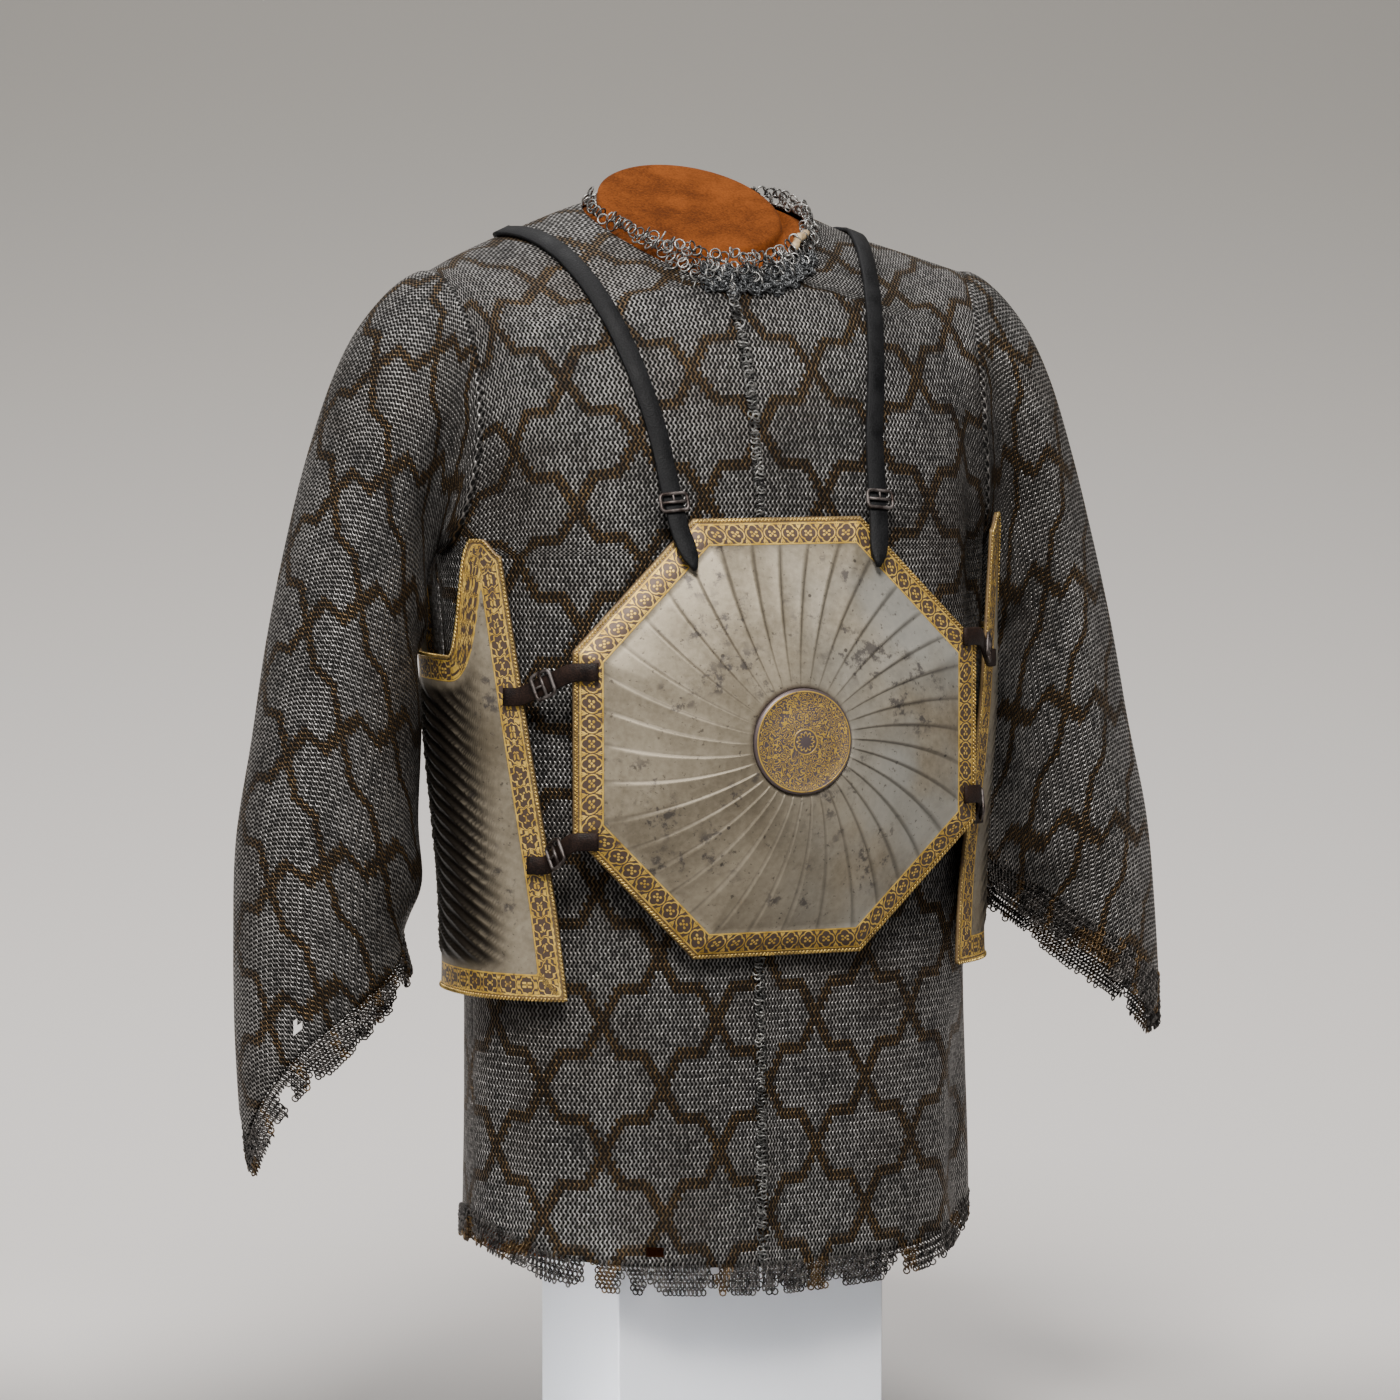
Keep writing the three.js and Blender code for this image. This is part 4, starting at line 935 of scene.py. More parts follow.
def mail_material(weave, name, turned):
    material, tree, shader, place = new_material(name, 0.38, 0.65)
    u, v = surface_place(tree)
    drift = noise(tree, place, 30, 2) - 0.5
    sway = noise(tree, place, 37, 2) - 0.5
    rings = use_group(tree, weave, u=u + drift * 2.4, v=v + sway * 2.4, turned=turned)
    rust = noise(tree, place, 9, 4, 0.6).ramp(0.45, 0.7)
    shade = (rings["Tone"] * 0.4 + noise(tree, place, 26, 4) * 0.6).ramp(0.15, 0.85)
    steel = mix_colour(tree, shade, *SHADES["steel"])
    steel = mix_colour(tree, rust * 0.4, steel, RUST)
    brass = mix_colour(tree, shade, *SHADES["brass"])
    wire = mix_colour(tree, rings["Brass"], steel, brass)
    # The gaps between the wires are painted near black: painted shade in the weave's holes.
    colour = mix_colour(tree, rings["Wire"], GAP_PAINTED_SHADE, wire)
    feed(tree, shader, base_color=colour, roughness=rings["Wire"].ramp(0, 1, 0.85, 0.34))
    bump(tree, shader, rings["Height"], 0.8)
    return material


def loose_ring_material(name, roughness):
    """Rings that are modelled: the brass value says which are brass, and tone varies each."""
    material, tree, shader, place = new_material(name, roughness, 0.7)
    spots = noise(tree, place, 160, 2)
    shade = (own_value(tree, "tone") * 0.6 + spots * 0.5).ramp(0.2, 0.95)
    steel = mix_colour(tree, shade, *SHADES[name])
    warm = mix_colour(tree, shade, *SHADES["brass"])
    colour = mix_colour(tree, own_value(tree, "brass"), steel, warm)
    feed(tree, shader, base_color=colour)
    return material


def plate_material(ornament):
    material, tree, shader, place = new_material("plate_steel", 0.42, 0.42)
    along_edge, inset = surface_place(tree)
    x, _, _ = parts_of(tree, place)
    cloud = noise(tree, place, 14, 5, 0.6)
    fine = noise(tree, place, 260, 3, 0.6)
    stain = noise(tree, place, 20, 3, 0.6).ramp(0.48, 0.6) * noise(tree, place, 85, 6, 0.7).ramp(0.52, 0.62)
    holes = cells(tree, place, 48)
    chance, _, _ = parts_of(tree, holes.outputs["Color"])
    pin_hole = Field(tree, holes.outputs["Distance"]).ramp(0.075, 0.05) * chance.ramp(0.35, 0.36)
    pit = (noise(tree, place, 300, 3, 0.6).ramp(0.62, 0.72) * 0.8).most(pin_hole)
    steel = mix_colour(tree, (cloud * 0.75 + fine * 0.3).ramp(0.3, 0.75), *SHADES["plate"])
    # A paler, bluish cast towards the plates' +x side: partly patina, partly painted reflection.
    patina_and_reflection = noise(tree, place, 9, 3).ramp(0.4, 0.62) * (x * 6.0 + 0.25).ramp(0.0, 0.8)
    steel = mix_colour(tree, patina_and_reflection * 0.5, steel, PLATE_PATINA_AND_REFLECTION)
    steel = mix_colour(tree, stain * 0.8, steel, PLATE_STAIN)
    steel = mix_colour(tree, pit * 0.8, steel, PLATE_PIT)
    # Painted shade: dark lines along the breast plates' flute grooves, and painted dark reflection and
    # shade down the side plates' middle.
    steel = mix_colour(tree, own_value(tree, "painted_shade") * 0.85, steel, PLATE_PAINTED_SHADE)
    marks = use_group(tree, ornament, along=along_edge, inset=inset)
    gold = mix_colour(tree, noise(tree, place, 120, 4).ramp(0.35, 0.65), *SHADES["gold"])
    worn = noise(tree, place, 90, 4, 0.7).ramp(0.26, 0.42)
    bordered = mix_colour(tree, marks["Band"], steel, BORDER_GROUND)
    colour = mix_colour(tree, marks["Gold"] * worn, bordered, gold)
    feed(tree, shader, base_color=colour, roughness=(cloud * 0.3 + fine * 0.12 + 0.3))
    bump(tree, shader, fine * 0.5 + marks["Gold"] * 0.8 - pit * 0.6, 0.12)
    return material


def medallion_material(scroll):
    material, tree, shader, place = new_material("medallion_gilding", 0.42, 0.55)
    x, _, z = parts_of(tree, place)
    gold_mask = use_group(tree, scroll, x=x / MM, z=(z - PLATE_Z * MM) / MM)["Gold"]
    worn = noise(tree, place, 150, 4, 0.7).ramp(0.28, 0.45)
    gold = mix_colour(tree, noise(tree, place, 170, 3), *SHADES["gold"])
    ground = mix_colour(tree, noise(tree, place, 60, 4), *SHADES["medallion"])
    colour = mix_colour(tree, gold_mask * worn, ground, gold)
    feed(tree, shader, base_color=colour)
    bump(tree, shader, gold_mask, 0.15)
    return material


def rope_material():
    material, tree, shader, place = new_material("rope_rim", 0.38, 0.7)
    gold = mix_colour(tree, noise(tree, place, 90, 4, 0.7).ramp(0.35, 0.65), *SHADES["rope"])
    feed(tree, shader, base_color=gold)
    return material


def leather_material(name, roughness):
    material, tree, shader, place = new_material(name, roughness, 0.0)
    shader.inputs["Specular IOR Level"].default_value = 0.18
    creases = Field(tree, cells(tree, place, 900).outputs["Distance"])
    cloud = noise(tree, place, 60, 4)
    colour = mix_colour(tree, (cloud * 0.8 + creases * 0.3).ramp(0.3, 0.8), *SHADES[name])
    gloss = cloud.ramp(0.2, 0.8, roughness - 0.12, roughness + 0.15)
    feed(tree, shader, base_color=colour, roughness=gloss)
    bump(tree, shader, creases * 0.5 + cloud, 0.35)
    return material


def iron_material():
    material, tree, shader, place = new_material("iron", 0.5, 0.85)
    cloud = noise(tree, place, 130, 5, 0.65)
    colour = mix_colour(tree, cloud.ramp(0.35, 0.7), *SHADES["iron"])
    feed(tree, shader, base_color=colour, roughness=cloud.ramp(0.3, 0.7, 0.4, 0.65))
    bump(tree, shader, cloud, 0.3)
    return material


def suede_material():
    material, tree, shader, place = new_material("suede", 0.95, 0.0)
    shader.inputs["Specular IOR Level"].default_value = 0.08
    shader.inputs["Sheen Weight"].default_value = 0.04
    shader.inputs["Sheen Roughness"].default_value = 0.4
    shader.inputs["Sheen Tint"].default_value = SHEEN_TINT
    nap = noise(tree, place, 650, 2, 0.6)
    brushed = noise(tree, place, 45, 5, 0.6)
    patches = noise(tree, place, 14, 3, 0.5)
    shade = (nap * 0.35 + brushed * 0.45 + patches * 0.35).ramp(0.35, 0.8)
    colour = mix_colour(tree, shade, *SHADES["suede"])
    feed(tree, shader, base_color=colour)
    bump(tree, shader, nap + brushed * 0.5, 0.4)
    return material


def plinth_material():
    material, tree, shader, place = new_material("plinth_paint", 0.6, 0.0)
    roller = noise(tree, place, 400, 3)
    cloud = noise(tree, place, 6, 3)
    colour = mix_colour(tree, cloud.ramp(0.3, 0.7), *SHADES["plinth"])
    feed(tree, shader, base_color=colour, roughness=cloud.ramp(0.3, 0.7, 0.55, 0.68))
    bump(tree, shader, roller, 0.1)
    return material


def bone_material():
    material, tree, shader, place = new_material("bone", 0.5, 0.0)
    cloud = noise(tree, place, 120, 4)
    colour = mix_colour(tree, cloud.ramp(0.3, 0.7), *SHADES["bone"])
    feed(tree, shader, base_color=colour)
    bump(tree, shader, cloud, 0.2)
    return material


def stage_material():
    """A pale floor, darker before the part, and a wall that darkens upwards in painted shade and is clear
    from behind.
    """
    material, tree, shader, place = new_material("backdrop", 0.9, 0.0)
    x, y, z = parts_of(tree, place)
    behind = (x * -math.sin(CAMERA["heading"]) + y * math.cos(CAMERA["heading"])).ramp(-0.1, 0.7)
    # The wall darkens upwards from the low to the high colour: painted shade.
    high = mix_colour(tree, z.ramp(0.0, 1.2).power(0.58), STAGE["low"], STAGE["high"])
    colour = mix_colour(tree, behind, STAGE["near"], high)
    feed(tree, shader, base_color=colour)
    face = tree.nodes.new("ShaderNodeNewGeometry")
    clear = tree.nodes.new("ShaderNodeBsdfTransparent")
    either = tree.nodes.new("ShaderNodeMixShader")
    end = tree.nodes["Material Output"]
    tree.links.new(face.outputs["Backfacing"], either.inputs[0])
    tree.links.new(shader.outputs[0], either.inputs[1])
    tree.links.new(clear.outputs[0], either.inputs[2])
    tree.links.new(either.outputs[0], end.inputs["Surface"])
    return material


# Pieces that repeat, placed by geometry nodes
def placing_tree(name):
    """A tree that sets one shape on every point, turned by the points' own attributes."""
    tree = bpy.data.node_groups.new(name, "GeometryNodeTree")
    for label, kind, flow in (
        ("Geometry", "NodeSocketGeometry", "INPUT"),
        ("Ring radius", FLOAT, "INPUT"),
        ("Wire radius", FLOAT, "INPUT"),
        ("Ring steps", "NodeSocketInt", "INPUT"),
        ("Wire steps", "NodeSocketInt", "INPUT"),
        ("Finish", "NodeSocketMaterial", "INPUT"),
        ("Geometry", "NodeSocketGeometry", "OUTPUT"),
    ):
        tree.interface.new_socket(label, in_out=flow, socket_type=kind)
    nodes = tree.nodes
    start = nodes.new("NodeGroupInput")
    end = nodes.new("NodeGroupOutput")
    ring = nodes.new("GeometryNodeCurvePrimitiveCircle")
    wire = nodes.new("GeometryNodeCurvePrimitiveCircle")
    tube = nodes.new("GeometryNodeCurveToMesh")
    turn = nodes.new("GeometryNodeInputNamedAttribute")
    turn.data_type = "FLOAT_VECTOR"
    turn.inputs["Name"].default_value = "turn"
    size = nodes.new("GeometryNodeInputNamedAttribute")
    size.data_type = "FLOAT_VECTOR"
    size.inputs["Name"].default_value = "stretch"
    to_rotation = nodes.new("FunctionNodeEulerToRotation")
    place = nodes.new("GeometryNodeInstanceOnPoints")
    points = nodes.new("GeometryNodeMeshToPoints")
    real = nodes.new("GeometryNodeRealizeInstances")
    smooth = nodes.new("GeometryNodeSetShadeSmooth")
    finish = nodes.new("GeometryNodeSetMaterial")
    for source, output, target, slot in (
        (start, "Ring radius", ring, "Radius"),
        (start, "Ring steps", ring, "Resolution"),
        (start, "Wire radius", wire, "Radius"),
        (start, "Wire steps", wire, "Resolution"),
        (ring, "Curve", tube, "Curve"),
        (wire, "Curve", tube, "Profile Curve"),
        (start, "Geometry", points, "Mesh"),
        (points, 0, place, "Points"),
        (tube, 0, place, "Instance"),
        (turn, "Attribute", to_rotation, 0),
        (to_rotation, 0, place, "Rotation"),
        (size, "Attribute", place, "Scale"),
        (place, 0, real, 0),
        (real, 0, smooth, "Geometry"),
        (smooth, 0, finish, "Geometry"),
        (start, "Finish", finish, "Material"),
        (finish, 0, end, 0),
    ):
        tree.links.new(source.outputs[output], target.inputs[slot])
    return tree


def set_attribute(mesh, name, kind, values):
    attribute = mesh.attributes.new(name, kind, "POINT")
    field = "vector" if kind == "FLOAT_VECTOR" else "value"
    attribute.data.foreach_set(field, np.asarray(values, float).reshape(-1))


def placed_rings(name, places, turns, brass, finish, ring, stretch=None):
    """Rings on a list of places in millimetres, as one mesh."""
    mesh = bpy.data.meshes.new(name)
    mesh.from_pydata((np.asarray(places) * MM).tolist(), [], [])
    count = len(places)
    set_attribute(mesh, "turn", "FLOAT_VECTOR", turns)
    set_attribute(mesh, "stretch", "FLOAT_VECTOR", np.ones((count, 3)) if stretch is None else stretch)
    set_attribute(mesh, "brass", "FLOAT", brass)
    set_attribute(mesh, "tone", "FLOAT", rng.random(count))
    piece = new_object(name, mesh)
    modifier = piece.modifiers.new("rings", "NODES")
    modifier.node_group = RING_TREE
    values = {
        "Ring radius": ring["radius"] * MM, "Wire radius": ring["wire"] * MM,
        "Ring steps": ring["steps"], "Wire steps": ring["wire_steps"], "Finish": finish,
    }
    for item in RING_TREE.interface.items_tree:
        if item.in_out == "INPUT" and item.name in values:
            modifier[item.identifier] = values[item.name]
    return finished(piece)


def euler_frames(along_row, outward, tilt):
    """Turns that lay a ring on the cloth, tilted about the column's direction."""
    turns = []
    for row, out, lean in zip(along_row, outward, tilt):
        x = Vector(row).normalized()
        z = Vector(out).normalized()
        y = z.cross(x).normalized()
        x = y.cross(z)
        basis = Matrix((x, y, z)).transposed() @ Matrix.Rotation(lean, 3, "Y")
        turns.append(tuple(basis.to_euler("XYZ")))
    return turns


def brass_share(u, v):
    """Which modelled rings are brass, by the same lattice as the woven cloth."""
    twice = (v - LATTICE["start_v"]) / LATTICE["height"] * 2
    share = twice % 1
    climb = (np.floor(twice) + share * LATTICE["slant"] + (share > 0.5) * (1 - LATTICE["slant"])) / 2
    middle = (np.floor(twice) + 0.5) / 2
    rise = (share - 0.5) * LATTICE["height"] / 2
    nearest = np.inf
    for sign in (-1, 1):
        place = (u - LATTICE["start_u"]) / LATTICE["width"]
        leg = place + sign * climb
        aside = place + sign * middle
        leg = np.abs(leg - np.round(leg)) * LATTICE["width"] / LATTICE_LEAN
        aside = np.maximum(np.abs(aside - np.round(aside)) * LATTICE["width"] - LATTICE_STEP, 0)
        nearest = np.minimum(nearest, np.minimum(leg, np.hypot(aside, rise)))
    return (nearest < LATTICE["band"]).astype(float)


def ragged(count, deepest, seed):
    """How far the torn edge has lost rings, column by column."""
    draw = np.random.default_rng(seed)
    place = np.arange(count)
    edge = np.zeros(count)
    for waves in EDGE_WAVES:
        edge += np.sin(place / count * 2 * math.pi * waves + draw.random() * 7) / math.sqrt(waves)
    edge = (edge - edge.min()) / (edge.max() - edge.min())
    return deepest * edge**4 + draw.random(count) * EDGE_FRAY


def rings_on(surface, columns, rows, keep, finish, name, weave):
    """Linked rings on surface(column, row), where column and row may be any numbers."""
    column, row = np.meshgrid(np.arange(columns), np.arange(rows), indexing="ij")
    shifted = column + 0.5 * (row % 2)
    kept = keep(column, row)
    shifted, row, column = shifted[kept], row[kept], column[kept]
    step = 0.25
    points = surface(shifted, row)
    along_row = surface(shifted + step, row) - surface(shifted - step, row)
    up = surface(shifted, row - step) - surface(shifted, row + step)
    outward = unit(np.cross(along_row, up))
    lean = np.where(row % 2 == 0, RING_LEAN, -RING_LEAN) + rng.normal(0, RING_SWAY, len(row))
    points = points + rng.normal(0, RING_SWAY, points.shape) - outward * RING_DEPTH
    turns = euler_frames(along_row, outward, lean)
    return placed_rings(name, points, turns, brass_share(*weave(shifted, row)), finish, SMALL_RING)


def hem_rings(name, face, psi_range, finish, seed):
    """The hem's rings between two psi on one face, from the woven cloth's edge down to the torn hem."""
    fine = np.linspace(*psi_range, 200)
    u_fine = around_body(fine, face)
    order = np.argsort(u_fine)
    columns = int(abs(u_fine[-1] - u_fine[0]) / RING_PITCH)
    rows = int(HEM_BAND / ROW_PITCH) + 2
    lost = ragged(columns, DEEPEST_LOSS["hem"], seed)

    def place(column, row):
        u = min(u_fine[0], u_fine[-1]) + (column + 0.5) * RING_PITCH
        psi = np.interp(u, u_fine[order], fine[order])
        hem = along(HEM, "angle", "z", np.abs(angle_from_front(psi, face)))
        z = hem + HEM_BAND + 1 - row * ROW_PITCH
        return u, psi, (z - hem) / (ARMPIT_Z - hem), z

    def surface(column, row):
        _, psi, level, _ = place(column, row)
        return body_point(psi, face, level)

    def weave(column, row):
        u, _, _, z = place(column, row)
        return u, z - ARMPIT_Z

    def keep(column, row):
        held = row * ROW_PITCH <= HEM_BAND - lost[column]
        return held & ~torn_away(surface(column, row), TEARS["mail_front_right"] + HEM_TEARS)

    return rings_on(surface, columns, rows, keep, finish, name, weave)


def opening_rings(name, finish):
    """Loose rings along the edge of the front opening, from the hem to the neck."""
    low = np.linspace(OPENING["foot"], 1, OPENING["low_rows"])
    high = np.linspace(1.01, OPENING["top"], OPENING["high_rows"])
    levels = np.repeat(np.concatenate([low, high]), 2)
    beside = np.tile(OPENING["beside"], len(levels) // 2)
    x = FRONT_OPENING_X + beside + rng.normal(0, OPENING["sway"], len(levels))
    psi = psi_for_x(x, levels)
    points = body_point(psi, -1, levels)
    keep = ~in_neck_hole(points) & (rng.random(len(levels)) > OPENING["lost"])
    points, levels, psi = points[keep], levels[keep], psi[keep]
    outward = body_normal(psi, -1, levels) + rng.normal(0, OPENING["tilt"], points.shape)
    lean = np.where(np.arange(len(points)) % 2 == 0, RING_LEAN, -RING_LEAN)
    way = np.tile((0.0, 0.0, 1.0), (len(points), 1))
    places = points + outward * OPENING["proud"]
    turns = euler_frames(way, outward, lean)
    return placed_rings(name, places, turns, np.zeros(len(places)), finish, SMALL_RING)


def cuff_rings(name, side, finish, seed):
    """A cuff's rings, from the woven cloth's edge down to the torn cuff."""
    hand = HANDS[side]
    angle, edge, end, swing, length = sleeve_layout(side)
    columns = round(SLEEVE_ROUND / ROW_PITCH)
    rows = int(CUFF_BAND / RING_PITCH) + 2
    lost = ragged(columns, DEEPEST_LOSS["cuff"], seed)

    def at(values, degrees):
        wrapped = np.append(angle, 360)
        return np.interp(degrees % 360, wrapped, np.append(values, values[0]))

    def surface(column, row):
        degrees = (column + 0.5) / columns * 360
        run = at(length, degrees)
        t = 1 - (CUFF_BAND + 1.5 - row * RING_PITCH) / run
        edges = np.stack([at(edge[:, i], degrees) for i in range(3)], axis=-1)
        points = sleeve_surface(t, degrees % 360, edges, at(end, degrees), swing)
        return points * (hand, 1, 1)

    def weave(column, row):
        degrees = (column + 0.5) / columns * 360
        run = at(length, degrees) - CUFF_BAND + row * RING_PITCH
        return degrees / 360 * SLEEVE_ROUND, SLEEVE_START - run

    def keep(column, row):
        held = row * RING_PITCH < CUFF_BAND - lost[column]
        return held & ~torn_away(surface(column, row), TEARS["mail_sleeve_" + side])

    return rings_on(surface, columns, rows, keep, finish, name, weave)


# The collar of large rings
def neck_edge_point(turn, out, height):
    """A place round the neck hole; turn is in degrees from the front towards the wearer's left."""
    a = np.radians(turn)
    x = (NECK_HOLE["half_width"] + out) * np.sin(a)
    y = NECK_HOLE["y"] - (NECK_HOLE["half_depth"] + out) * np.cos(a)
    z = shoulder_height(x, y, 0, 0) + height
    return np.stack(np.broadcast_arrays(x, y, z), axis=-1)


def collar_rings(name, finish):
    places, turns = [], []
    step = math.degrees(COLLAR["pitch"] / NECK_HOLE["half_width"])
    for first, last, height, out in zip(*COLLAR_STRANDS.values()):
        for k, turn in enumerate(np.arange(first, last, step)):
            sway = rng.normal(0, 1, 3) * COLLAR["sway"]
            point = neck_edge_point(turn + sway[0], out + sway[1], height + sway[2])
            way = neck_edge_point(turn + 1, out, height) - neck_edge_point(turn - 1, out, height)
            outward = np.array([math.sin(math.radians(turn)), -math.cos(math.radians(turn)), 0.7])
            lean = (COLLAR["lean"] if k % 2 else -COLLAR["lean"]) + rng.normal(0, COLLAR["lean_sway"])
            places.append(point)
            turns += euler_frames([way], [outward + rng.normal(0, COLLAR["tilt_sway"], 3)], [lean])
    for drop in range(3):
        point = neck_edge_point(-6, 9 + 5 * drop, 2.2)
        places.append(point)
        turns += euler_frames([(1, 0, 0)], [(0, -0.8, 0.6)], [0.5 if drop % 2 else -0.6])
    return placed_rings(name, places, turns, np.zeros(len(places)), finish, LARGE_RING)


def crumpled_rings(name, finish):
    """The crumpled patch of fine rings that hangs from the collar in front."""
    count = CRUMPLED["count"]
    turn = rng.uniform(*CRUMPLED["turn"], count)
    out = rng.uniform(*CRUMPLED["out"], count)
    ridge = 2.2 * (1 + np.sin(turn * 0.55 + out * 0.3))
    places = neck_edge_point(turn, out, ridge + rng.uniform(*CRUMPLED["lift"], count))
    outward = np.array((0.2, -0.7, 0.7)) + rng.normal(0, 0.45, (count, 3))
    frames = euler_frames(rng.normal(0, 1, (count, 3)), outward, np.zeros(count))
    return placed_rings(name, places, frames, np.zeros(count), finish, SMALL_RING)


def lathe(profile, steps):
    """A closed solid turned about Z, from pairs of radius and height."""
    turns = np.arange(steps) * 2 * math.pi / steps
    rings = [np.stack([r * np.cos(turns), r * np.sin(turns), 0 * turns + z], axis=-1) for r, z in profile]
    return np.concatenate(rings), capped_tube(len(profile), steps)


def toggle(name, finish):
    """Two short bone pegs held among the collar's rings."""
    points, faces = lathe(TOGGLE, 20)
    all_points, all_faces = [], []
    for turn, lean in ((39, 0.6), (47, -0.2)):
        way = neck_edge_point(turn + 1, 0, 0) - neck_edge_point(turn - 1, 0, 0)
        axis = Vector(way).normalized() + Vector((0, 0, lean))
        turned = np.array(axis.to_track_quat("Z", "Y").to_matrix())
        base = len(all_points) * len(points)
        all_points.append(points @ turned.T + neck_edge_point(turn, -3.5, 10))
        all_faces += [[i + base for i in f] for f in faces]
    return mesh_piece(name, np.concatenate(all_points), all_faces, finish=finish)


# The plates
def octagon_stretch(turn):
    eighth = math.pi / 4
    off = (turn + eighth / 2) % eighth - eighth / 2
    return 1 / np.cos(off)


def plate_point(turn, radius, proud):
    half = OCTAGON["across_flats"] / 2
    flat = radius / octagon_stretch(turn)
    depth = lerp(radius, flat, smoothstep(flat / half, 0.3, 1)) / half
    x, z = radius * np.sin(turn), radius * np.cos(turn)
    return np.stack([x, OCTAGON["rise"] * depth**2 - proud, z], axis=-1)


def placed(points, place):
    matrix = np.array(place)
    return np.asarray(points) @ matrix[:3, :3].T + matrix[:3, 3]


def flute_profile(phase, crest, foot):
    """A flute's height over one repeat: a slow hollow rise to the crest and a quick fall to the foot."""
    phase = phase % 1
    rise = np.clip(phase / crest, 0, 1) ** 1.8
    fall = smoothstep(phase, crest, foot)
    return rise * (1 - fall)


def closed_wall(name, outer, inner, wrapped, uv, finish, outward, painted_shade):
    """A closed wall between two grids; uv and the painted shade hold one value for each point of the grid.
    """
    rows, columns = outer.shape[:2]
    size = rows * columns
    front = grid_faces(rows, columns, wrapped)
    back = grid_faces(rows, columns, wrapped, size)[:, ::-1]
    faces = [front, back]
    last = columns if wrapped else columns - 1
    i = np.arange(last)
    k = (i + 1) % columns
    top = (rows - 1) * columns
    faces.append(np.stack([i + size, k + size, k, i], axis=1))
    faces.append(np.stack([top + i, top + k, top + k + size, top + i + size], axis=1))
    if not wrapped:
        j = np.arange(rows - 1) * columns
        faces.append(np.stack([j, j + columns, j + columns + size, j + size], axis=1))
        j = j + columns - 1
        faces.append(np.stack([j + size, j + columns + size, j + columns, j], axis=1))
    faces = np.concatenate(faces)
    if outward < 0:
        faces = faces[:, ::-1]
    points = np.concatenate([outer.reshape(-1, 3), inner.reshape(-1, 3)])
    places = np.concatenate([uv.reshape(-1, 2)] * 2)[faces]
    if wrapped:
        places[:, :, 0] = unbroken(places[:, :, 0], EDGE_ROUND)
    piece = mesh_piece(name, points, faces, places, finish)
    set_attribute(piece.data, "painted_shade", "FLOAT", np.concatenate([painted_shade.reshape(-1), np.zeros(size)]))
    return piece


def octagon_plate(name, place, finish):
    half = OCTAGON["across_flats"] / 2
    hole = MEDALLION["radius"] + MEDALLION["gap"]
    columns = OCTAGON["columns"]
    turns = (np.arange(columns) + OCTAGON["first_column"]) / columns * 2 * math.pi
    share = np.linspace(0, 1, OCTAGON["rings"])[:, None]
    swung = turns[None, :] - FLUTE_TWIST * (1 - share)
    edge = (half - OCTAGON["border"]) * lerp(octagon_stretch(swung), octagon_stretch(turns)[None, :], share)
    radius = lerp(hole, edge, share)
    wander = 0.1 * np.sin(turns * 5)[None, :] * share + 0.1 * np.sin(turns * 3 + 1)[None, :]
    phase = (turns * OCTAGON["flutes"] / (2 * math.pi))[None, :] + wander
    upper_side = 0.5 + 0.5 * np.cos(turns - 0.3)[None, :]
    faded = lerp(1, smoothstep(share, 0.15, 0.6), 0.75 * upper_side)
    swell = smoothstep(share, 0, 0.08) * (1 - 0.5 * smoothstep(share, 0.8, 1.0)) * faded
    height = OCTAGON["flute_height"] * 0.7 * flute_profile(phase, **BREAST_FLUTE) * swell
    height[-1] = 0
    # Painted shade: a dark line along each flute's fall below its crest.
    painted_groove_shade = 0.6 * bell((phase - 0.02) % 1 - 0.94, 0.06) * np.clip(swell * 1.8, 0, 1)
    outer = [plate_point(swung[j], radius[j], height[j]) for j in range(len(share))]
    radii = [radius]
    for inset, proud in BORDER_ROWS:
        line = (half - inset) * octagon_stretch(turns)
        outer.append(plate_point(turns, line, proud))
        radii.append(line[None, :])
    outer = np.stack(outer)
    angles = np.concatenate([swung, np.repeat(turns[None, :], len(BORDER_ROWS), axis=0)])
    radii = np.concatenate(radii)
    inner = plate_point(angles, radii, -OCTAGON["thickness"])
    inset = half - radii / octagon_stretch(angles)
    along_edge = np.broadcast_to(turns / (2 * math.pi) * EDGE_ROUND, inset.shape)
    uv = np.stack([along_edge, inset], axis=-1)
    painted_shade = np.concatenate([painted_groove_shade, np.zeros((len(BORDER_ROWS), len(turns)))])
    return closed_wall(name, placed(outer, place), placed(inner, place), True, uv, finish, 1, painted_shade)


def rope_rim(name, points, outward, finish):
    """Short tilted strands along a plate's closed edge, from points with their outward directions."""
    ring = np.concatenate([points, points[:1]])
    run = row_lengths(ring)
    count = int(run[-1] / STRAND_PITCH)
    at = (np.arange(count) + 0.5) / count * run[-1]
    ahead = along_path(np.minimum(at + 0.5, run[-1]), run, ring)
    behind = along_path(np.maximum(at - 0.5, 0), run, ring)
    out = along_path(at, run, np.concatenate([outward, outward[:1]]))
    slant = Matrix.Rotation(STRAND_SLANT, 3, "Z")
    turns = []
    for turn in euler_frames(ahead - behind, out, np.zeros(count)):
        turns.append(tuple((Euler(turn, "XYZ").to_matrix() @ slant).to_euler("XYZ")))
    stretch = np.tile(STRAND_STRETCH, (count, 1))
    return placed_rings(name, along_path(at, run, ring), turns, np.zeros(count), finish, STRAND, stretch)


def octagon_edge(place):
    half = OCTAGON["across_flats"] / 2
    turns = np.arange(EDGE_STEPS) / EDGE_STEPS * 2 * math.pi
    inset = RIM["width"] / 2
    points = plate_point(turns, (half - inset) * octagon_stretch(turns), 0.55)
    outward = np.stack([np.sin(turns) * 0.3, -np.ones(EDGE_STEPS), np.cos(turns) * 0.3], axis=-1)
    return placed(points, place), outward @ np.array(place)[:3, :3].T


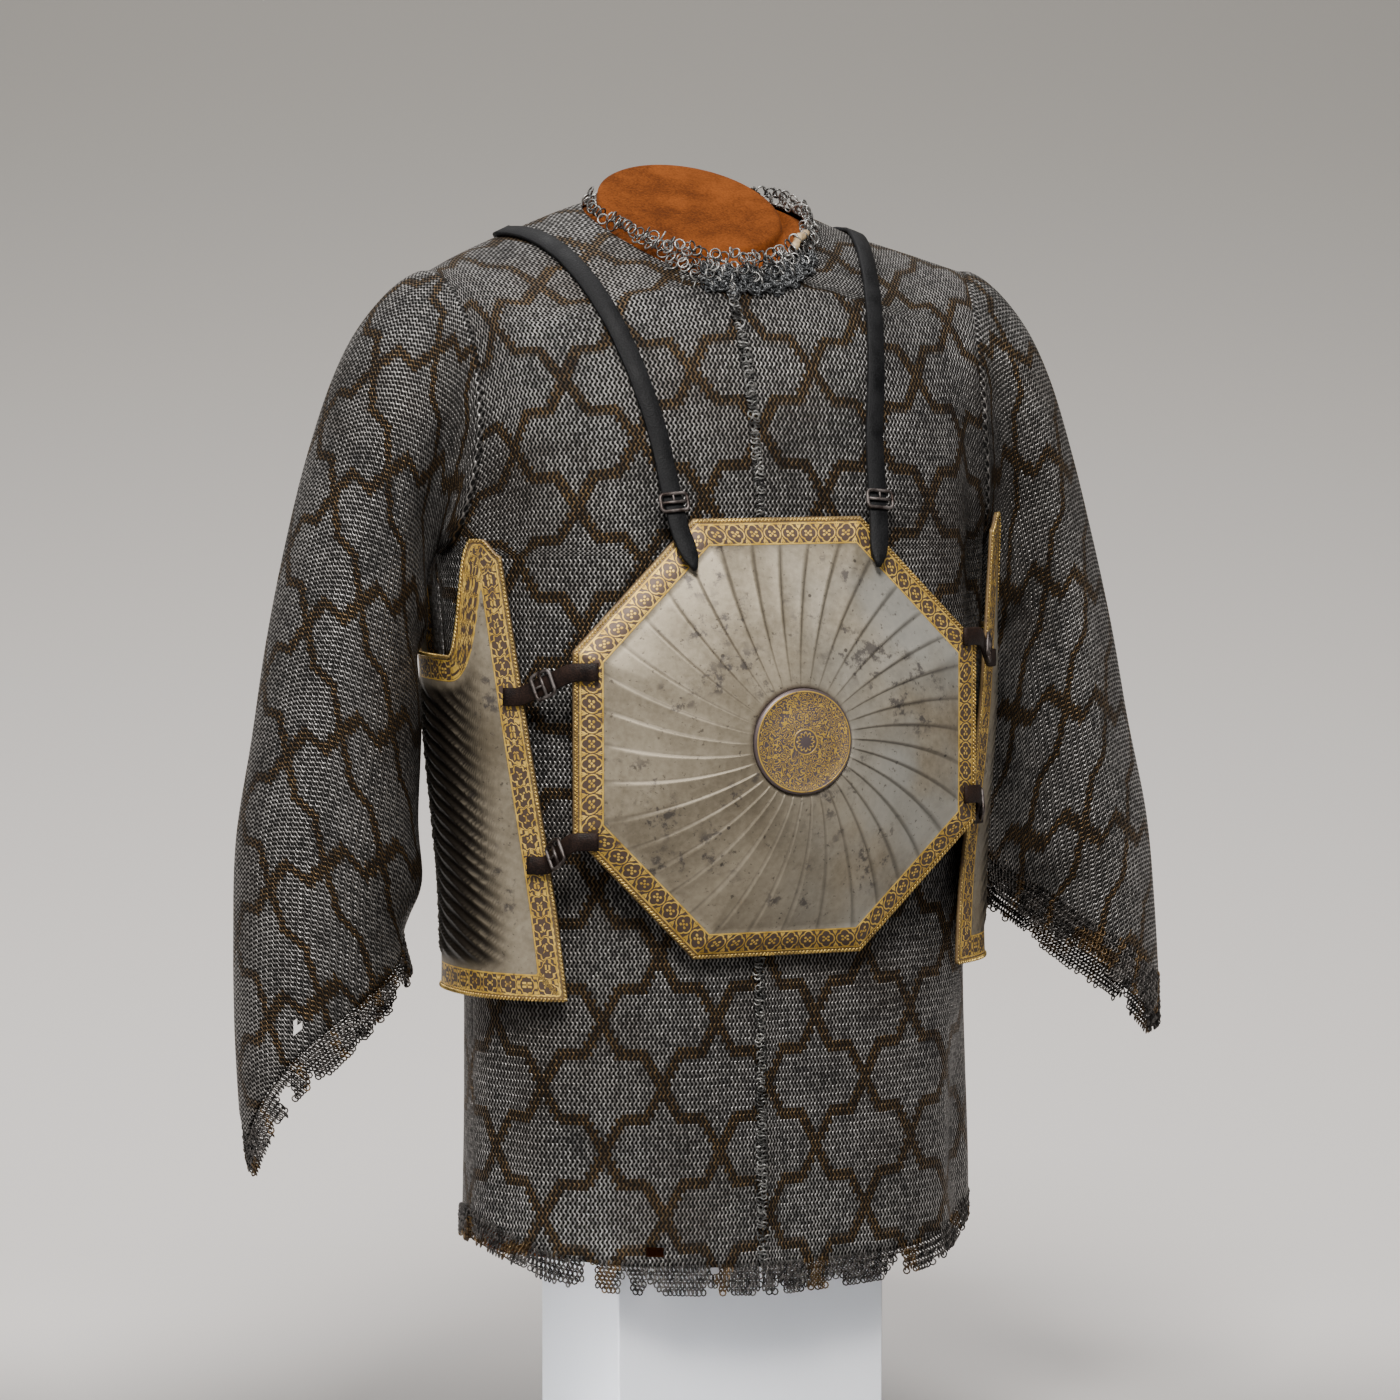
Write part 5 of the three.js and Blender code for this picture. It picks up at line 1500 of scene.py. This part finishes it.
def medallion(name, place, finish):
    radius, height = MEDALLION["radius"], MEDALLION["height"]
    edge = plate_point(np.array(0.0), np.array(float(radius)), 0)[1]
    back = edge + OCTAGON["thickness"]
    profile = (
        (0.01, -height - 1),
        (0.3 * radius, 0.09 * edge - height - 0.9),
        (0.6 * radius, 0.36 * edge - height - 0.6),
        (radius - 3.4, edge * 0.9 - height + 0.2),
        (radius - 2.6, edge * 0.9 - height - 0.5),
        (radius - 1.4, edge - height - 0.4),
        (radius - 0.4, edge - height + 0.3),
        (radius, edge - height + 1),
        (radius, back),
        (0.01, back),
    )
    points, faces = lathe(profile, 96)
    return mesh_piece(name, placed(points[:, (1, 2, 0)], place), faces, finish=finish)


def side_plate_edge(height):
    return np.radians(lerp(*SIDE_PLATE["edge_angle"], np.clip(height, 0, 1)))


def side_plate_top(across_plate):
    from_edge = 1 - np.abs(across_plate)
    scoop = smoothstep(from_edge, 0.28, 0.72)
    rounded = 1 - smoothstep(from_edge, 0, 0.18)
    return lerp(SIDE_PLATE["horn_z"], SIDE_PLATE["scoop_z"], scoop) - rounded * SIDE_PLATE["horn_round"]


def side_plate_point(across_plate, z, proud, hand):
    height = (z - SIDE_PLATE["bottom_z"]) / (SIDE_PLATE["horn_z"] - SIDE_PLATE["bottom_z"])
    psi = QUARTER - np.abs(across_plate) * (QUARTER - side_plate_edge(height))
    out = SIDE_PLATE["offset"] + proud + SIDE_PLATE["foot_flare"] * (1 - height) ** 2
    section = section_at((z - HEM["z"][2]) / (ARMPIT_Z - HEM["z"][2]), out)
    front = np.stack(np.broadcast_arrays(*section_point(section, psi, -1), z), axis=-1)
    back = np.stack(np.broadcast_arrays(*section_point(section, psi, 1), z), axis=-1)
    point = np.where((across_plate < 0)[..., None], front, back)
    return point * (hand, 1, 1)


def side_plate_grid(hand, rise, proud):
    across_plate = np.linspace(-1, 1, SIDE_PLATE["columns"])[None, :] * np.ones((SIDE_PLATE["rows"], 1))
    up = np.linspace(0, 1, SIDE_PLATE["rows"])[:, None] * np.ones((1, SIDE_PLATE["columns"]))
    z = lerp(SIDE_PLATE["bottom_z"], side_plate_top(across_plate), up)
    points = side_plate_point(across_plate, z, proud, hand)
    points[..., 2] += rise
    return points


def side_plate(name, side, finish):
    """A fluted side plate, and its outline."""
    hand, rise = HANDS[side], SIDE_PLATE_RISE[side]
    flat = side_plate_grid(hand, rise, SIDE_PLATE["thickness"])
    outline = np.concatenate([flat[:, 0], flat[-1, 1:], flat[-2::-1, -1], flat[0, -2:0:-1]])
    run = row_lengths(outline)
    distance = np.linalg.norm(flat.reshape(-1, 1, 3) - outline[None, ::2], axis=2)
    nearest = distance.argmin(axis=1)
    inset = distance.min(axis=1).reshape(flat.shape[:2])
    along_edge = run[::2][nearest].reshape(flat.shape[:2])
    across_plate = np.linspace(-1, 1, SIDE_PLATE["columns"])[None, :]
    phase = (flat[..., 2] - rise) / SIDE_PLATE["flute_pitch"] - across_plate * SIDE_PLATE["flute_slant"]
    swell = smoothstep(inset, 18, 30) * smoothstep(np.abs(across_plate), 0.8, 0.3)
    crest = flute_profile(phase, **SIDE_FLUTE)
    proud = SIDE_PLATE["thickness"] + SIDE_PLATE["flute_height"] * crest * swell
    outer = side_plate_grid(hand, rise, proud)
    inner = side_plate_grid(hand, rise, 0)
    uv = np.stack([along_edge, inset], axis=-1)
    to_side = 1 - np.abs(across_plate)
    # Painted dark reflection and shade: darker towards the plate's middle and in the flutes' hollows, none
    # within 16 mm of the edge.
    painted_reflection_and_shade = smoothstep(to_side + 0.34 * (0.5 - crest) * swell, 0.26, 0.72)
    painted_shade = 1.15 * painted_reflection_and_shade * smoothstep(inset, 16, 26)
    return closed_wall(name, outer, inner, False, uv, finish, hand, painted_shade), outline


def side_plate_edge_path(outline, side):
    x, y, z = SIDE_PLATE["middle"]
    outward = unit((outline - (0, y, 0)) * (1, 1, 0))
    inward = unit(np.array([HANDS[side] * x, y, z]) - outline)
    return outline + inward * 1.2 + outward * 0.5, outward


# Straps, loops and buckles
def strip(name, path, outward, width, thickness, finish, narrowing=None):
    """A strap of rounded section along a path, lying against what carries it."""
    path, outward = np.asarray(path, float), np.asarray(outward, float)
    way = np.gradient(path, axis=0)
    sideways = unit(np.cross(way, outward))
    lift = unit(outward)
    w, t = width / 2, thickness
    edge = 0.6
    outline = (
        (-w, edge), (-w, t - edge), (-w + edge, t), (0, t + 0.15), (w - edge, t), (w, t - edge),
        (w, edge), (w - edge, 0), (-w + edge, 0),
    )
    breadth = np.ones(len(path)) if narrowing is None else narrowing
    rings = np.stack([path + sideways * (x * breadth)[:, None] + lift * y for x, y in outline], axis=1)
    faces = [face[::-1] for face in capped_tube(*rings.shape[:2])]
    return mended(mesh_piece(name, rings.reshape(-1, 3), faces, finish=finish), turn_out=True)


def body_normal(psi, face, level):
    step = 0.01
    sideways = body_point(psi + step, face, level) - body_point(psi - step, face, level)
    up = body_point(psi, face, level + step) - body_point(psi, face, level - step)
    return unit(np.cross(sideways, up) * -face)


def plate_at(x, z, proud):
    return plate_point(np.arctan2(x, z), np.hypot(x, z), proud)


def strap_half(hand, face):
    """A shoulder strap's path from a plate up to the ridge, with its outward directions."""
    place = ON_BREAST if face < 0 else ON_BACK
    t = np.linspace(0, 1, STRAP_FOOT["rows"])
    foot_x = np.interp(t, (0, 0.45, 1), STRAP_FOOT["x"])
    foot_z = np.interp(t, (0, 0.45, 1), STRAP_FOOT["z"])
    foot = placed(plate_at(-face * hand * foot_x, foot_z, RIM["height"] + STRAP["clear"] + 2), place)
    foot_out = np.tile(np.array(place)[:3, :3] @ np.array((0, -1, 0.25)), (len(t), 1))
    levels = np.linspace(1.2, 1.98, 34)
    x = lerp(STRAP_X["low"], STRAP_X["ridge"], np.linspace(0, 1, len(levels)))
    psi = psi_for_x(hand * x, levels)
    out = body_normal(psi, face, levels)
    path = np.concatenate([foot, body_point(psi, face, levels) + out * STRAP["clear"]])
    return path, np.concatenate([foot_out, out])


def smoothed(line, passes):
    for _ in range(passes):
        line[1:-1] = (line[:-2] + 2 * line[1:-1] + line[2:]) / 4
    return line


def shoulder_strap(name, hand, finish):
    front, front_out = strap_half(hand, -1)
    back, back_out = strap_half(hand, 1)
    path = np.concatenate([front, back[::-1]])
    outward = smoothed(np.concatenate([front_out, back_out[::-1]]), 6)
    from_end = np.minimum(np.arange(len(path)), np.arange(len(path))[::-1])
    tip = np.interp(from_end, (0, 1, 2, 4), (0.2, 0.5, 0.8, 1.0))
    return strip(name, smoothed(path, 2), outward, STRAP["width"], STRAP["thickness"], finish, tip)


def bar_frame(name, middle, way, out, size, finish):
    """A buckle or loop bent from round bar: a rounded frame with a middle bar and a pin."""
    length, width, bar, thickness = size
    way = unit(way)
    out = unit(out - way * np.dot(out, way))
    sideways = np.cross(out, way)
    x, y, r = length / 2 - bar / 2, width / 2 - bar / 2, BAR_BEND
    corners = []
    for right, up, start in ((1, 1, 0), (-1, 1, 90), (-1, -1, 180), (1, -1, 270)):
        for a in np.radians(np.linspace(start, start + 90, 6)):
            corners.append((right * (x - r) + r * math.cos(a), up * (y - r) + r * math.sin(a)))
    lines = [(np.array(corners), True, bar / 2)]
    lines.append((np.array([(0, -y), (0, 0), (0, y)], float), False, bar / 2 * 0.9))
    lines.append((np.array([(0, 0), (x * 0.5, 0), (x + bar * 0.4, 0)], float), False, bar / 2 * 0.6))
    points, faces = [], []
    base = 0
    for flat, closed, radius in lines:
        path = middle + flat[:, :1] * way + flat[:, 1:] * sideways + out * thickness / 2
        if closed:
            direction = np.roll(path, -1, axis=0) - np.roll(path, 1, axis=0)
        else:
            direction = np.gradient(path, axis=0)
        side = np.cross(unit(direction), out)
        ring = []
        for a in np.arange(8) * math.pi / 4:
            ring.append(path + side * math.cos(a) * radius + out * math.sin(a) * radius * 0.92)
        tube = np.stack(ring, axis=1)
        rows, columns = tube.shape[:2]
        if closed:
            tube = np.concatenate([tube, tube[:1]])
            rows += 1
        faces += [list(f) for f in grid_faces(rows, columns, True, base)]
        if not closed:
            faces.append([base + i for i in range(columns)])
            faces.append([base + (rows - 1) * columns + i for i in range(columns)])
        points.append(tube.reshape(-1, 3))
        base += rows * columns
    piece = mesh_piece(name, np.concatenate(points), faces, finish=finish)
    return mended(piece, merge=0.01, turn_out=True)


def side_strap_path(side, face, strap):
    hand, rise, z = HANDS[side], SIDE_PLATE_RISE[side], strap[side]
    place = ON_BREAST if face < 0 else ON_BACK
    half = OCTAGON["across_flats"] / 2
    from_middle = z - PLATE_Z
    half_width = SIDE_STRAP["width"] / 2
    edge_x = min(half, half * math.sqrt(2) - abs(from_middle) + half_width)
    clear = RIM["height"] + STRAP["clear"] + strap["lift"]
    corners = []
    for x in (edge_x - 14, edge_x + 1):
        heights = from_middle + np.array((-half_width, 0, half_width))
        points = placed(plate_at(np.full(3, -face * hand * x), heights, clear), place)
        foremost = points[np.argmax(points[:, 1] * face)]
        corners.append((*foremost[:2], z))
    low = z - SIDE_STRAP["drop"]
    proud = SIDE_PLATE["thickness"] + STRAP["clear"] + strap["side_lift"]
    for share in (1.0, 0.86):
        point = side_plate_point(np.array(face * share), np.array(low - rise), proud, hand)
        corners.append((*point[:2], low))
    return np.array(corners)


def side_strap(name, side, face, strap, finish):
    corners = side_strap_path(side, face, strap)
    run = row_lengths(corners)
    path = smoothed(along_path(np.linspace(0, run[-1], 25), run, corners), 2)
    outward = np.cross(np.gradient(path, axis=0), (0, 0, 1)) * -face * HANDS[side]
    return strip(name, path, outward, SIDE_STRAP["width"], SIDE_STRAP["thickness"], finish)


def side_buckle(name, side, face, strap, finish):
    corners = side_strap_path(side, face, strap)
    way = unit(corners[2] - corners[1])
    out = unit(np.cross(way, (0, 0, 1)) * -face * HANDS[side])
    middle = (corners[1] + corners[2]) / 2 + out * (SIDE_STRAP["thickness"] + 0.7)
    return bar_frame(name, middle, way, out, BUCKLE, finish)


def strap_loop(name, hand, face, finish):
    path, outward = strap_half(hand, face)
    after = STRAP_FOOT["rows"]
    edge = after - 1
    way = path[after] - path[edge]
    out = unit(outward[edge] + outward[after])
    middle = path[edge] + way * 0.25 + out * (STRAP["thickness"] + 0.9)
    return bar_frame(name, middle, way, out, LOOP, finish)


# The form and the plinth
def neck_disc_point(turn, grow, drop):
    forward = -(NECK_DISC["half_depth"] + grow) * np.cos(turn)
    x = (NECK_DISC["half_width"] + grow) * np.sin(turn)
    tilt = NECK_DISC["tilt"]
    y = NECK_DISC["y"] + forward * math.cos(tilt)
    z = NECK_DISC["z"] + forward * math.sin(tilt) - drop
    return np.stack([x, y, z], axis=-1)


def torso_form(name, finish):
    inset, lower = FORM["inset"], FORM["shoulder_inset"]
    turns = np.arange(FORM_COLUMNS) / FORM_COLUMNS * 2 * math.pi
    front = np.cos(turns) >= 0
    psi = np.arctan2(np.sin(turns), np.abs(np.cos(turns)))

    def ring(level):
        return np.where(front[:, None], body_point(psi, -1, level, inset), body_point(psi, 1, level, inset))

    bottom = ring(FORM["foot_level"])
    bottom[:, 2] = FORM["bottom_z"]
    foot = bottom * (FORM["foot_share"], FORM["foot_share"], 1)
    bottom[:, 2] += FORM["foot_round"]
    levels = np.linspace(2 * FORM["foot_level"], 1, FORM["body_rings"])
    rings = [foot, bottom] + [ring(level) for level in levels]
    chest = ring(1.0)
    base_x = NECK_BASE["half_width"] * np.sin(turns)
    base_y = NECK_BASE["y"] - NECK_BASE["half_depth"] * np.cos(turns)
    for t in np.linspace(0.03, 1, FORM["shoulder_rings"]):
        x, y = lerp(chest[:, 0], base_x, t), lerp(chest[:, 1], base_y, t)
        rings.append(np.stack([x, y, shoulder_height(x, y, inset, lower)], axis=-1))
    low = rings[-1]
    high = neck_disc_point(turns, 0, 8)
    rings += [lerp(low, high, t) for t in (0.25, 0.5, 0.75)]
    rings += [neck_disc_point(turns, grow, drop) for grow, drop in NECK_TOP]
    return mesh_piece(name, np.concatenate(rings), capped_tube(len(rings), FORM_COLUMNS), finish=finish)


def plinth(name, finish):
    low, high = (np.array(corner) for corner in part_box("plinth"))
    mesh = bpy.data.meshes.new(name)
    block = bmesh.new()
    bmesh.ops.create_cube(block, size=1)
    for vertex in block.verts:
        vertex.co = Vector(low + (np.array(vertex.co) + 0.5) * (high - low))
    bmesh.ops.bevel(block, geom=block.edges[:], offset=1.2 * MM, segments=3, affect="EDGES", profile=0.5)
    block.to_mesh(mesh)
    block.free()
    piece = new_object(name, mesh)
    piece.data.materials.append(finish)
    return piece


# Put it together
RING_TREE = placing_tree("placed_rings")
LATTICE_GROUP = brass_lattice_group()
WEAVE_GROUP = ring_weave_group(LATTICE_GROUP)
ORNAMENT_GROUP = border_ornament_group()
SCROLL_GROUP = medallion_scroll_group()

MAIL = mail_material(WEAVE_GROUP, "mail_weave", 0.0)
SLEEVE_MAIL = mail_material(WEAVE_GROUP, "mail_weave_sleeves", 1.0)
HEM_STEEL = loose_ring_material("hem_rings", 0.42)
COLLAR_STEEL = loose_ring_material("collar_rings", 0.32)
CRUMPLED_STEEL = loose_ring_material("crumpled_rings", 0.4)
PLATE_STEEL = plate_material(ORNAMENT_GROUP)
ROPE = rope_material()
MEDALLION_GILT = medallion_material(SCROLL_GROUP)
BLACK_LEATHER = leather_material("black_leather", 0.62)
BROWN_LEATHER = leather_material("brown_leather", 0.55)
IRON = iron_material()
SUEDE = suede_material()
PLINTH_PAINT = plinth_material()
BONE = bone_material()


def settle(piece, slot, *nodes):
    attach(piece, BODY)
    if nodes:
        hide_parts(*nodes)
    return piece


form = settle(torso_form("form_cover", SUEDE), "suede", "torso_form")
settle(plinth("plinth_block", PLINTH_PAINT), "plinth_paint", "plinth")

shirt = {
    "mail_front_right": front_panel("mail_front_right", -1),
    "mail_front_left": front_panel("mail_front_left", 1),
    "mail_back": back_panel("mail_back"),
    "mail_sleeve_right": sleeve("mail_sleeve_right", "right"),
    "mail_sleeve_left": sleeve("mail_sleeve_left", "left"),
}
for node, piece in shirt.items():
    piece.name = node + "_woven"
    piece.data.materials.append(SLEEVE_MAIL if "sleeve" in node else MAIL)
    settle(piece, "mail", node)

opening_psi = float(psi_for_x(FRONT_OPENING_X, OPENING["foot"]))
edges = {
    "mail_front_right": hem_rings("hem_rings_front_right", -1, (-QUARTER, opening_psi), HEM_STEEL, 3),
    "mail_front_left": hem_rings("hem_rings_front_left", -1, (opening_psi, QUARTER), HEM_STEEL, 4),
    "mail_back": hem_rings("hem_rings_back", 1, (-QUARTER, QUARTER), HEM_STEEL, 5),
    "mail_sleeve_right": cuff_rings("cuff_rings_right", "right", HEM_STEEL, 6),
    "mail_sleeve_left": cuff_rings("cuff_rings_left", "left", HEM_STEEL, 7),
}
for piece in edges.values():
    settle(piece, "mail")
settle(opening_rings("front_opening_rings", COLLAR_STEEL), "mail")

settle(collar_rings("collar_rings", COLLAR_STEEL), "collar_rings", "mail_collar")
settle(crumpled_rings("collar_crumpled_rings", CRUMPLED_STEEL), "collar_rings")
settle(toggle("collar_toggle", BONE), "collar_rings")

for tag, place in OCTAGON_PLACES.items():
    settle(octagon_plate(f"{tag}_plate_fluted", place, PLATE_STEEL), "plate_steel", f"{tag}_plate")
for tag, place in OCTAGON_PLACES.items():
    settle(medallion(f"{tag}_medallion_gilt", place, MEDALLION_GILT), "gilding", f"{tag}_medallion")
for tag, place in OCTAGON_PLACES.items():
    settle(rope_rim(f"{tag}_plate_rope", *octagon_edge(place), ROPE), "gilding")

for side, hand in HANDS.items():
    plate, outline = side_plate(f"side_plate_{side}_fluted", side, PLATE_STEEL)
    settle(plate, "plate_steel", f"side_plate_{side}")
    settle(rope_rim(f"side_plate_{side}_rope", *side_plate_edge_path(outline, side), ROPE), "gilding")
    leather = shoulder_strap(f"shoulder_strap_{side}_leather", hand, BLACK_LEATHER)
    settle(leather, "black_leather", f"shoulder_strap_{side}")
    for end, face in FACES.items():
        settle(strap_loop(f"loop_{end}_{side}_bar", hand, face, IRON), "iron", f"loop_{end}_{side}")
        for height, strap in SIDE_STRAPS.items():
            tag = f"{height}_{end}_{side}"
            leather = side_strap(f"side_strap_{tag}_leather", side, face, strap, BROWN_LEATHER)
            settle(leather, "brown_leather", f"side_strap_{tag}")
            buckle = side_buckle(f"buckle_{tag}_bar", side, face, strap, IRON)
            settle(buckle, "iron", f"buckle_{tag}")


# Stage, light and camera
def backdrop():
    """A floor that curves up into a wall."""
    width, near, far, curve, height = BACKDROP.values()
    line = [(near, 0.0), (far - curve, 0.0)]
    for a in np.linspace(0, QUARTER, 16):
        line.append((far - curve + curve * math.sin(a), curve - curve * math.cos(a)))
    line.append((far, height))
    heading = CAMERA["heading"]
    ahead = np.array((-math.sin(heading), math.cos(heading)))
    sideways = np.array((math.cos(heading), math.sin(heading)))
    points, faces = [], []
    for run, z in line:
        for side in (-width / 2, width / 2):
            points.append((*(ahead * run + sideways * side), z))
    for j in range(len(line) - 1):
        faces.append((2 * j, 2 * j + 1, 2 * j + 3, 2 * j + 2))
    mesh = bpy.data.meshes.new("backdrop")
    mesh.from_pydata(points, [], faces)
    mesh.polygons.foreach_set("use_smooth", [True] * len(faces))
    piece = new_object("backdrop", mesh)
    piece.data.materials.append(stage_material())


def area_light(name, place, aim, size, power, colour, spread):
    light = bpy.data.lights.new(name, "AREA")
    light.shape = "RECTANGLE"
    light.size, light.size_y = size
    light.energy = power
    light.spread = math.radians(spread)
    light.color = colour
    lamp = new_object(name, light)
    lamp.location = place
    lamp.rotation_euler = (Vector(aim) - Vector(place)).to_track_quat("-Z", "Y").to_euler()


backdrop()
for light in zip(*LIGHTS.values()):
    area_light(*light)
world = bpy.data.worlds.new("room")
world.use_nodes = True
world.node_tree.nodes["Background"].inputs["Color"].default_value = (0.8, 0.8, 0.82, 1)
world.node_tree.nodes["Background"].inputs["Strength"].default_value = 0.16
bpy.context.scene.world = world

camera_data = bpy.data.cameras.new("camera")
camera_data.sensor_width = CAMERA["sensor"]
camera_data.lens = FOCAL_PIXELS / PHOTO_WIDTH * CAMERA["sensor"]
camera = new_object("camera", camera_data)
ahead = Vector((-math.sin(CAMERA["heading"]), math.cos(CAMERA["heading"]), 0))
aside = Vector((math.cos(CAMERA["heading"]), math.sin(CAMERA["heading"]), 0))
camera.location = ahead * -CAMERA["distance"] + aside * CAMERA["aside"] + Vector((0, 0, CAMERA["height"]))
camera.rotation_euler = (QUARTER - CAMERA["pitch"], 0, CAMERA["heading"])
bpy.context.scene.camera = camera
